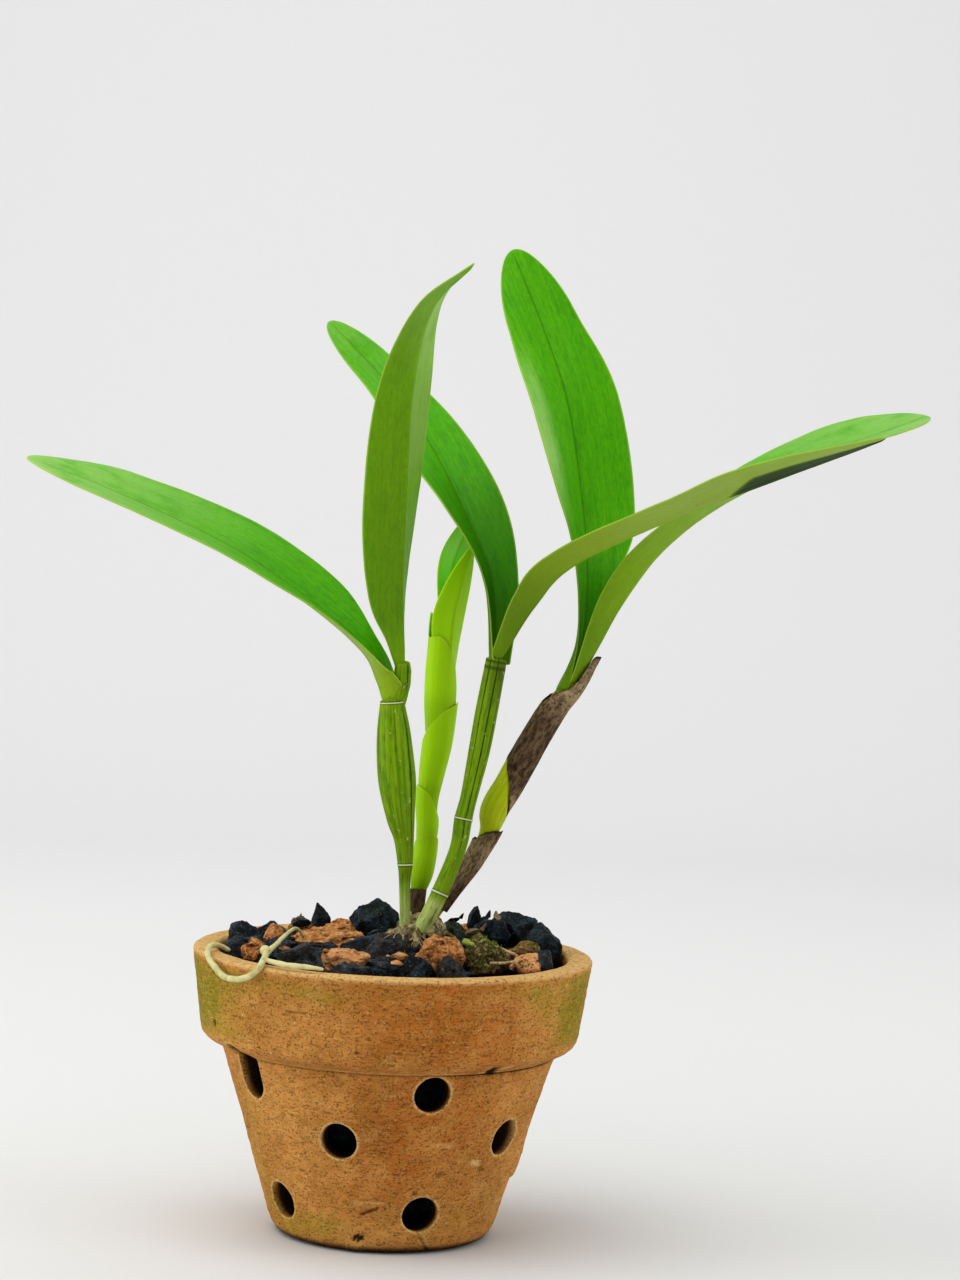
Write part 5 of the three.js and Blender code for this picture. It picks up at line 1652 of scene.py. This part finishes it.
def right_cane_shape(share, angle, radius):
    """The right cane, thinner under its sheaths, smooth and swollen where it is bare."""
    station = share * (len(CANE_RIGHT) - 1)
    lower = 1 - smoothstep(station, 3.6, 4.6)
    # The cane is bare up to the upper sheath's slanting foot.
    degrees = np.degrees(angle) % 360
    foot = margin_line(RIGHT_SHEATHS["sheath_right_upper"]["foot"], degrees.ravel()).reshape(degrees.shape)
    under = np.maximum(lower, smoothstep(station, foot - 0.25, foot + 0.15))
    radius = radius - (UNDER_SHEATH + FACET_ROOM) * under - 0.1
    lines = band(np.sin((14 * angle + np.sin(4 * share)) / 2), 0, 0.25)
    dark = 1.4 * smoothstep(station, 8.6, 9.6)
    return radius - 0.08 * lines, {"groove": 0.35 * lines, "dark": dark}


def make_canes(skins):
    """The three grown canes, and the stub from which the left cane's leaves part."""
    # A ring is its share of the cane's length, how tall it stands and how wide it is.
    rings = [(0.335, 0.3, 0.005), (0.985, 0.2, 0.004)]
    ribs = ribbed(9, 0.75, rings, (0.33, 1.0), LEFT_DARK, (0.02, 0.3))
    left = tube(CANE_LEFT, 190, 112, ribs, cap=1.2)
    add_piece("cane_left_skin", left, skins["cane"], ["cane_left"])
    stub = tube(STUB_LEFT, 60, 60, ribbed(7, 0.12, [], (0.1, 1.0)), cap=0.8, seed=0.2)
    add_piece("leaf_stub_skin", stub, skins["cane"], ["leaf_stub_left"])
    rings = [(0.253, 0.25, 0.004), (0.5, 0.35, 0.004), (0.975, 0.06, 0.003), (0.99, 0.06, 0.003)]
    ribs = ribbed(9, 0.5, rings, (0.3, 1.1), CENTRE_DARK, (0.18, 0.26), seed=2.0)
    centre = tube(CANE_CENTRE, 220, 90, ribs, cap=1.0, seed=0.4)
    add_piece("cane_centre_skin", centre, skins["cane"], ["cane_centre"])
    right = tube(CANE_RIGHT, 160, 72, right_cane_shape, end=CANE_RIGHT_END, seed=0.6)
    add_piece("cane_right_skin", right, skins["swelling"], ["cane_right"])


def make_sheaths(material):
    """The two dry sheaths on the right cane."""
    # Rows, sides, wrinkles, raggedness and seed of each.
    details = {"lower": (60, 80, 0.2, 0.03, 3), "upper": (100, 96, 0.18, 0.04, 4)}
    for which, (rows, sides, wrinkle, ragged, seed) in details.items():
        node = f"sheath_right_{which}"
        made = sleeve(CANE_RIGHT, RIGHT_SHEATHS[node], rows, sides, SHEATH_THICKNESS, wrinkle, ragged, seed)
        add_piece(f"sheath_{which}_paper", made, material, [node], sharp=70)


def make_shoot(settings, skins):
    """The new shoot: its stem, the dry scale at its foot, four bracts and two young leaves."""
    inside = [(x, y, z, max(r - 2 * UNDER_SHEATH - 0.3, SHOOT_STEM_LEAST)) for x, y, z, r in SHOOT]
    stem = tube(inside, 80, 40, end=SHOOT_TOP, seed=0.8)
    add_piece("shoot_stem_skin", stem, skins["swelling"], ["shoot_stem"])
    # Each bract is thinner as far up as the one below wraps it.
    clear = 0.0
    for order, (name, wrap) in enumerate(SHOOT_BRACTS.items()):
        stations = [
            (x, y, z, r - UNDER_SHEATH * (order > 0) * (1 - smoothstep(station, clear - 0.5, clear + 0.7)))
            for station, (x, y, z, r) in enumerate(SHOOT)
        ]
        if order == 0:
            skin, slot, wrinkle, ragged = "sheath", "dry_sheath", 0.16, 0.05
        else:
            skin, slot, wrinkle, ragged = "young", "young_leaf", 0.06, 0.008
        made = sleeve(stations, wrap, 60, 76, BRACT_THICKNESS, wrinkle, ragged, seed=10 + order)
        add_piece(f"{name}_skin", made, skins[skin], [name], sharp=70)
        heights = [corner[1] for corner in wrap["rim"]]
        clear = (max(heights) + min(heights)) / 2
    for order, (name, leaf) in enumerate(SHOOT_LEAVES.items()):
        made = blade(leaf, settings.margin / MM, 70, 20, 12, seed=20 + order)
        add_piece(f"{name}_blade", made, skins["young"], [name])


def make_leaves(settings, material):
    """The six grown leaves."""
    for order, (name, leaf) in enumerate(LEAVES.items()):
        made = blade(leaf, settings.margin / MM, seed=order + 1)
        add_piece(f"{name}_blade", made, material, [name])


# ---- Rhizome and roots ---------------------------------------------------

RHIZOME = [
    (-5, -7, 110, 2.4), (4, -4, 113.6, 3.3), (11, -5, 114.4, 3.6), (16, 5, 114, 3.3),
    (14, 16, 114.6, 3.4), (8, 24, 115, 3.3), (2, 29, 111, 2.2),
]
RHIZOME_ROOTS = [
    [(9, -7, 115, 1.5), (8.5, -11.5, 111, 1.4), (8, -13, 103, 1.1)],
    [(13, -8, 115, 1.4), (16.5, -11.5, 111.5, 1.3), (18, -13, 103, 1)],
    [(3, -5, 113, 1.4), (-5, 0, 109, 1.3), (-8, 2, 101, 1)],
    [(15, 14, 114, 1.4), (24, 10, 109, 1.3), (28, 9, 101, 1)],
    [(8, 24, 114, 1.4), (2, 34, 109.5, 1.3), (0, 37, 101, 1)],
    [(13, 17, 114, 1.4), (20, 27, 109.5, 1.3), (22, 31, 101, 1)],
]
AERIAL_ROOT_MAIN = [
    (-33, 6, 108, 0.8), (-36.5, -2, 113.5, 0.9), (-40.3, -16, 112.6, 1.1), (-43, -30, 111, 1.3),
    (-45.4, -42, 110, 1.6), (-46, -49, 109.4, 1.6), (-46.4, -56, 108.9, 1.6),
    (-47.8, -60.3, 106.4, 1.6), (-50.9, -57.9, 103.3, 1.6), (-55.4, -54, 101.4, 1.6),
    (-60.4, -48.2, 101.2, 1.6), (-64, -43.6, 103.5, 1.6), (-67.2, -37.6, 106.6, 1.5),
    (-67.6, -29.5, 108.9, 1.5), (-66, -22, 108.8, 1.5), (-63.5, -17.5, 107.8, 1.4),
    (-60.5, -16, 106, 1.2),
]
AERIAL_ROOT_FORK = [
    (-46, -55, 109, 1.2), (-42, -59.4, 108.8, 1.4), (-38.2, -63, 108.6, 1.4),
    (-33.4, -65, 108.6, 1.4), (-28, -67, 108.5, 1.2), (-24.4, -66.8, 108.1, 0.9),
]
AERIAL_ROOT_KNOT = [(-46.6, -43, 109.4, 1.8), (-46.4, -44.6, 111, 2.5), (-44.6, -46, 110.6, 1.6)]
ROOT_SLIMMING = 0.72
SCALE_LEAVES = 9
# Outline of a scale leaf's ring: step along the stem, and how much thicker than the stem.
SCALE_RING = [(-1.2, 0.1), (-0.4, 0.45), (0.5, 0.7), (0.9, 0.2)]
ROOT_BIT = [(25.6, -26, 114.6, 1.4), (30, -28.6, 113.6, 1.2), (34, -31, 112.4, 1.2), (36.4, -33, 110, 0.9)]
TWIGS = {
    "twig_1": [(37, -24, 113, 0.7), (41, -27.5, 112, 0.7), (46, -31, 110.6, 0.6)],
    "twig_2": [(35.5, -38.4, 108.6, 0.6), (40, -38.6, 108.8, 0.6), (45, -38.2, 109.6, 0.5)],
}


def bare(made):
    """Several forms as one, without their layers."""
    return merged([form(one["points"], one["faces"]) for one in made])


def grown_together(name, tubes, voxel, relief, size, seed):
    """Tubes fused into one skin, then roughened."""
    fused = applied(name, mesh_of(name, bare(tubes)), "REMESH", mode="VOXEL", voxel_size=voxel * MM)
    points = points_of(fused)
    push = relief * rough(points, size, 4, seed)
    place_points(fused, points + normals_of(fused) * push[:, None])
    return fused


def make_rhizome(skins):
    """The creeping stem between the canes, with the roots that leave it."""
    tubes = [tube(RHIZOME, 60, 24)]
    tubes += [tube(path, 24, 14) for path in RHIZOME_ROOTS]
    # Dry scale leaves ring the creeping stem.
    for share in np.linspace(0.08, 0.92, SCALE_LEAVES):
        middle, _, _, along, radius = stem_frame(RHIZOME, np.array([share]))
        around = [(*(middle[0] + along[0] * step), radius[0] + grow) for step, grow in SCALE_RING]
        tubes.append(tube(around, 8, 24, cap=0.3))
    mesh = grown_together("rhizome_bark", tubes, 0.42, 0.4, 2.2, 31)
    add_piece("rhizome_bark", mesh, skins["rhizome"], ["rhizome"])


def make_roots(skins):
    """The aerial root with its fork, the cut green root and the twigs."""
    main, fork, knot = (
        [(x, y, z, r * ROOT_SLIMMING) for x, y, z, r in path]
        for path in (AERIAL_ROOT_MAIN, AERIAL_ROOT_FORK, AERIAL_ROOT_KNOT)
    )
    tubes = [tube(main, 150, 18, cap=1.5), tube(fork, 50, 16, cap=1.2), tube(knot, 20, 16, cap=1.2)]
    mesh = grown_together("aerial_root_skin", tubes, 0.3, 0.14, 2.6, 33)
    add_piece("aerial_root_skin", mesh, skins["root"], ["aerial_root"])
    mesh = grown_together("root_bit_skin", [tube(ROOT_BIT, 40, 16, cap=1)], 0.3, 0.15, 2.0, 34)
    add_piece("root_bit_skin", mesh, skins["green_root"], ["root_bit_green"])
    for name, path in TWIGS.items():
        mesh = grown_together(f"{name}_bark", [tube(path, 30, 12, cap=0.3)], 0.2, 0.12, 1.2, 35)
        add_piece(f"{name}_bark", mesh, skins["twig"], [name])


# Dead rootlets: x and y where they start, and their number.
FIBRE_SPOTS = [(9, -7, 26), (12, 4, 22), (14, 15, 20), (8, 23, 16), (3, -4, 14)]
FIBRE_REACH = (5, 13)  # least, and how much more at most
FIBRE_BEND = 6
FIBRE_RADIUS = (0.16, 0.2)
FIBRE_START = 1.5  # from the middle of its spot


def make_fibres(tree, material):
    """Dead rootlets and threads of sheath round the rhizome, lying over the lumps."""
    draw = seeded(47)
    threads = []
    for middle_x, middle_y, count in FIBRE_SPOTS:
        for _ in range(count):
            turn = 2 * math.pi * draw()
            reach = FIBRE_REACH[0] + FIBRE_REACH[1] * draw() ** 1.5
            bend = (draw() - 0.5) * FIBRE_BEND
            thick = FIBRE_RADIUS[0] + FIBRE_RADIUS[1] * draw()
            path = []
            for share in np.linspace(0, 1, 5):
                out, aside = FIBRE_START + reach * share, bend * math.sin(math.pi * share)
                x = middle_x + math.cos(turn) * out - math.sin(turn) * aside
                y = middle_y + math.sin(turn) * out + math.cos(turn) * aside
                found = top_at(tree, x, y)
                low = 108 if found is None else found[0]
                hang = 116 - 4 * share
                z = low + 0.1 + max(0, hang - low) * (1 - share) ** 2 * 0.6
                path.append((x, y, z, thick * (1 - 0.5 * share)))
            threads.append(tube(path, 14, 5, cap=0.05))
    add_piece("dead_rootlets", bare(threads), material)


# Scraps of sheath: x, y, z, heading, length and width.
SCRAPS = [
    (27, 17, 112, 20, 9, 6), (33, 30, 118, 60, 8, 3.5), (21, 24, 113, -40, 7, 4), (40, 21, 116, 100, 6, 3.5),
    (17, -2, 114, -70, 6, 4), (-20, 44, 112, 150, 5, 3), (2, 14, 114, 130, 7, 4), (47, 3, 112, 30, 6, 2.5),
]


# A scrap from end to end: share of its length, lift as a share of it, and share of its width.
SCRAP_CURL = [(0, 0, 0.3), (0.35, 0.1, 1.0), (0.7, 0.35, 0.75), (1, 0.8, 0.12)]


def make_scraps(tree, material):
    """Curled scraps of old sheath among the lumps."""
    scraps = []
    for order, (x, y, z, heading, long, wide) in enumerate(SCRAPS):
        found = top_at(tree, x, y)
        foot = (z if found is None else found[0]) - 0.4
        a = math.radians(heading)
        stations = []
        for share, lift, width in SCRAP_CURL:
            stations.append((
                x + math.cos(a) * long * share, y + math.sin(a) * long * share, foot + long * lift * 0.7,
                heading + 90, 70 - 50 * share, wide / 2 * width,
            ))
        scrap = {"stations": stations, "rounding": 0.12, "wave": 0.8, "pale": 0.0, "tone": [(0, 0), (1, 0)]}
        made = blade(scrap, 0.3, 16, 6, 5, seed=50 + order)
        made["layers"]["dark"] = np.full(len(made["points"]), 0.3 if order % 3 == 0 else 1.6)
        scraps.append(made)
    add_piece("sheath_scraps", merged(scraps), material)


# ---- Stage ---------------------------------------------------------------

CAMERA_PLACE = (0.0, -1.233, 0.2818)  # metres
CAMERA_PITCH = 0.0462  # down, in radians
CAMERA_YAW = 0.0224
CAMERA_ROLL = 0.044
FOCAL_PIXELS = 3290
LONG_SIDE = 1280
SENSOR = 36.0


def make_camera():
    """Camera in front of the pot, level with the leaves and looking a little down."""
    pitch, yaw, roll = CAMERA_PITCH, CAMERA_YAW, CAMERA_ROLL
    ahead = Vector((math.sin(yaw) * math.cos(pitch), math.cos(yaw) * math.cos(pitch), -math.sin(pitch)))
    level = Vector((math.cos(yaw), -math.sin(yaw), 0))
    above = level.cross(ahead)
    right = level * math.cos(roll) + above * math.sin(roll)
    up = above * math.cos(roll) - level * math.sin(roll)
    data = bpy.data.cameras.new("camera")
    data.sensor_width = SENSOR
    data.lens = FOCAL_PIXELS / LONG_SIDE * SENSOR
    data.clip_end = 50
    camera = linked("camera", data)
    turn = Matrix((right, up, -ahead)).transposed().to_4x4()
    camera.matrix_world = Matrix.Translation(CAMERA_PLACE) @ turn
    bpy.context.scene.camera = camera


def make_backdrop(settings):
    """A sheet of paper that runs level under the pot and curves up behind it."""
    radius, front, back, wide, tall = 0.9, 3.0, 1.3, 4.0, 3.2
    profile = [(-front, 0.0), (0.0, 0.0), (back, 0.0)]
    profile += [
        (back + radius * math.sin(a), radius * (1 - math.cos(a))) for a in np.linspace(0, math.pi / 2, 24)[1:]
    ]
    profile.append((back + radius, tall))
    points = [(x, y, z) for y, z in profile for x in (-wide, wide)]
    faces = [[2 * k, 2 * k + 1, 2 * k + 3, 2 * k + 2] for k in range(len(profile) - 1)]
    mesh = bpy.data.meshes.new("backdrop")
    mesh.from_pydata(points, [], faces)
    mesh.materials.append(studio_paper(settings))
    mesh.shade_smooth()
    backdrop = linked("backdrop", mesh)


def add_light(name, place, aim, size, power, shade):
    """Soft rectangular light at a place, turned to what it lights."""
    data = bpy.data.lights.new(name, "AREA")
    data.shape = "RECTANGLE"
    data.size, data.size_y = size
    data.energy = power
    data.color = linear(shade)[:3]
    light = linked(name, data)
    light.location = place
    light.rotation_mode = "QUATERNION"
    light.rotation_quaternion = (Vector(aim) - Vector(place)).to_track_quat("-Z", "Y")


def make_lights(settings):
    """Soft light from overhead and both sides, a wash on the paper behind, and light from all round."""
    add_light("overhead", (-0.5, -0.35, 1.7), (0, 0.1, 0.1), (1.8, 1.6), settings.key, "#fffefc")
    add_light("left_window", (-1.6, -0.2, 0.5), (0, 0, 0.15), (1.0, 1.0), settings.key * 0.55, "#fffdf8")
    add_light("right_fill", (1.6, -0.1, 0.5), (0, 0, 0.15), (1.0, 1.0), settings.key * 0.4, "#fffdf8")
    add_light("wall_wash", (0, 0.75, 2.0), (0, 2.2, 0.7), (2.4, 0.5), settings.key * 0.8, "#fbfcff")
    world = bpy.data.worlds.new("room")
    world.use_nodes = True
    tree = world.node_tree
    tree.nodes.clear()
    sky = add_node(tree, "ShaderNodeBackground", {"Color": linear("#f6f7f9"), "Strength": settings.sky})
    add_node(tree, "ShaderNodeOutputWorld", {"Surface": sky})
    bpy.context.scene.world = world
    bpy.context.scene.view_settings.view_transform = "Standard"
    bpy.context.scene.view_settings.look = "Medium High Contrast"


# ---- Operators -----------------------------------------------------------


def skins_of(plant):
    """The plant's materials by use, made once."""
    if "leaf_lamina" not in bpy.data.materials:
        leaf_lamina(plant)
        young_lamina(plant)
        cane_skin("cane_skin", plant.cane, "#98b41c", "#213f00")
        cane_skin("swelling_skin", "#a9bb00", "#c6ce30", "#86a000")
        papery_sheath(plant)
        woody_bark("rhizome_bark", "#665c3a", "#c4b588", "#1e1608")
        woody_bark("twig_bark", "#b0956a", "#dcc89c", "#6b5233")
        spongy_root("velamen_dry", plant.root, "#a9ab6b")
        spongy_root("velamen_green", "#9fb055", "#74853a")
        spongy_root("moss_leaf", "#7a8820", "#434e12")
    names = {
        "leaf": "leaf_lamina", "young": "young_lamina", "cane": "cane_skin", "swelling": "swelling_skin",
        "sheath": "sheath_papery", "rhizome": "rhizome_bark", "twig": "twig_bark", "root": "velamen_dry",
        "green_root": "velamen_green", "moss": "moss_leaf",
    }
    return {use: bpy.data.materials[name] for use, name in names.items()}


def fill_materials(settings):
    """Charcoal and brick, made once."""
    if "charcoal_broken" not in bpy.data.materials:
        charcoal(settings)
        broken_brick(settings)
    return bpy.data.materials["charcoal_broken"], bpy.data.materials["brick_crushed"]


class ORCHID_OT_stage(bpy.types.Operator):
    """Sets the camera, the lights and the paper backdrop"""

    bl_idname = "orchid.stage"
    bl_label = "Stage"

    def execute(self, context):
        settings = context.scene.orchid_stage
        make_camera()
        make_backdrop(settings)
        make_lights(settings)
        return {"FINISHED"}


class ORCHID_OT_pot(bpy.types.Operator):
    """Throws the terracotta pot and pierces its wall"""

    bl_idname = "orchid.pot"
    bl_label = "Pot"

    def execute(self, context):
        settings = context.scene.orchid_pot
        make_pot(settings, fired_clay(settings))
        return {"FINISHED"}


class ORCHID_OT_charcoal(bpy.types.Operator):
    """Fills the pot with lumps of charcoal"""

    bl_idname = "orchid.charcoal"
    bl_label = "Charcoal"

    def execute(self, context):
        make_bed(context.scene.orchid_pot, fill_materials(context.scene.orchid_fill)[0])
        return {"FINISHED"}


class ORCHID_OT_bricks(bpy.types.Operator):
    """Lays broken brick on the charcoal"""

    bl_idname = "orchid.bricks"
    bl_label = "Broken brick"

    def execute(self, context):
        make_bricks(context.scene.orchid_pot, fill_materials(context.scene.orchid_fill)[1])
        return {"FINISHED"}


class ORCHID_OT_rhizome(bpy.types.Operator):
    """Grows the rhizome and the roots that show"""

    bl_idname = "orchid.rhizome"
    bl_label = "Rhizome and roots"

    def execute(self, context):
        skins = skins_of(context.scene.orchid_plant)
        make_rhizome(skins)
        make_roots(skins)
        return {"FINISHED"}


class ORCHID_OT_canes(bpy.types.Operator):
    """Grows the three grown canes"""

    bl_idname = "orchid.canes"
    bl_label = "Canes"

    def execute(self, context):
        make_canes(skins_of(context.scene.orchid_plant))
        return {"FINISHED"}


class ORCHID_OT_sheaths(bpy.types.Operator):
    """Wraps the right cane in its dry sheaths"""

    bl_idname = "orchid.sheaths"
    bl_label = "Dry sheaths"

    def execute(self, context):
        make_sheaths(skins_of(context.scene.orchid_plant)["sheath"])
        return {"FINISHED"}


class ORCHID_OT_leaves(bpy.types.Operator):
    """Grows the six grown leaves"""

    bl_idname = "orchid.leaves"
    bl_label = "Leaves"

    def execute(self, context):
        plant = context.scene.orchid_plant
        make_leaves(plant, skins_of(plant)["leaf"])
        return {"FINISHED"}


class ORCHID_OT_shoot(bpy.types.Operator):
    """Grows the new shoot in its bracts"""

    bl_idname = "orchid.shoot"
    bl_label = "New shoot"

    def execute(self, context):
        plant = context.scene.orchid_plant
        make_shoot(plant, skins_of(plant))
        return {"FINISHED"}


class ORCHID_OT_litter(bpy.types.Operator):
    """Scatters crumbs, moss, rootlets and scraps of sheath on the filling"""

    bl_idname = "orchid.litter"
    bl_label = "Litter and moss"

    def execute(self, context):
        settings = context.scene.orchid_fill
        skins = skins_of(context.scene.orchid_plant)
        tree = surface_tree()
        make_crumbs(tree, settings, *fill_materials(settings))
        make_moss(tree, skins["moss"])
        make_fibres(tree, skins["twig"])
        make_scraps(tree, skins["sheath"])
        return {"FINISHED"}


SETTINGS = {
    "orchid_pot": PotSettings, "orchid_fill": FillSettings, "orchid_plant": PlantSettings,
    "orchid_stage": StageSettings,
}
STEPS = [
    ORCHID_OT_stage, ORCHID_OT_pot, ORCHID_OT_charcoal, ORCHID_OT_bricks, ORCHID_OT_rhizome,
    ORCHID_OT_canes, ORCHID_OT_sheaths, ORCHID_OT_leaves, ORCHID_OT_shoot, ORCHID_OT_litter,
]


class ORCHID_PT_panel(bpy.types.Panel):
    """Lists the steps that build the plant, with their sizes and colours"""

    bl_idname = "ORCHID_PT_panel"
    bl_label = "Potted orchid"
    bl_space_type = "VIEW_3D"
    bl_region_type = "UI"
    bl_category = "Orchid"

    def draw(self, context):
        for step in STEPS:
            self.layout.operator(step.bl_idname)
        for name in SETTINGS:
            group = getattr(context.scene, name)
            for key in group.__annotations__:
                self.layout.prop(group, key)


def register():
    for group in SETTINGS.values():
        bpy.utils.register_class(group)
    for name, group in SETTINGS.items():
        setattr(bpy.types.Scene, name, PointerProperty(type=group))
    for step in STEPS:
        bpy.utils.register_class(step)
    bpy.utils.register_class(ORCHID_PT_panel)


def unregister():
    bpy.utils.unregister_class(ORCHID_PT_panel)
    for step in reversed(STEPS):
        bpy.utils.unregister_class(step)
    for name in SETTINGS:
        delattr(bpy.types.Scene, name)
    for group in SETTINGS.values():
        bpy.utils.unregister_class(group)


def main():
    register()
    for step in STEPS:
        family, action = step.bl_idname.split(".")
        getattr(getattr(bpy.ops, family), action)()
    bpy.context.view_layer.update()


if __name__ == "__main__":
    main()
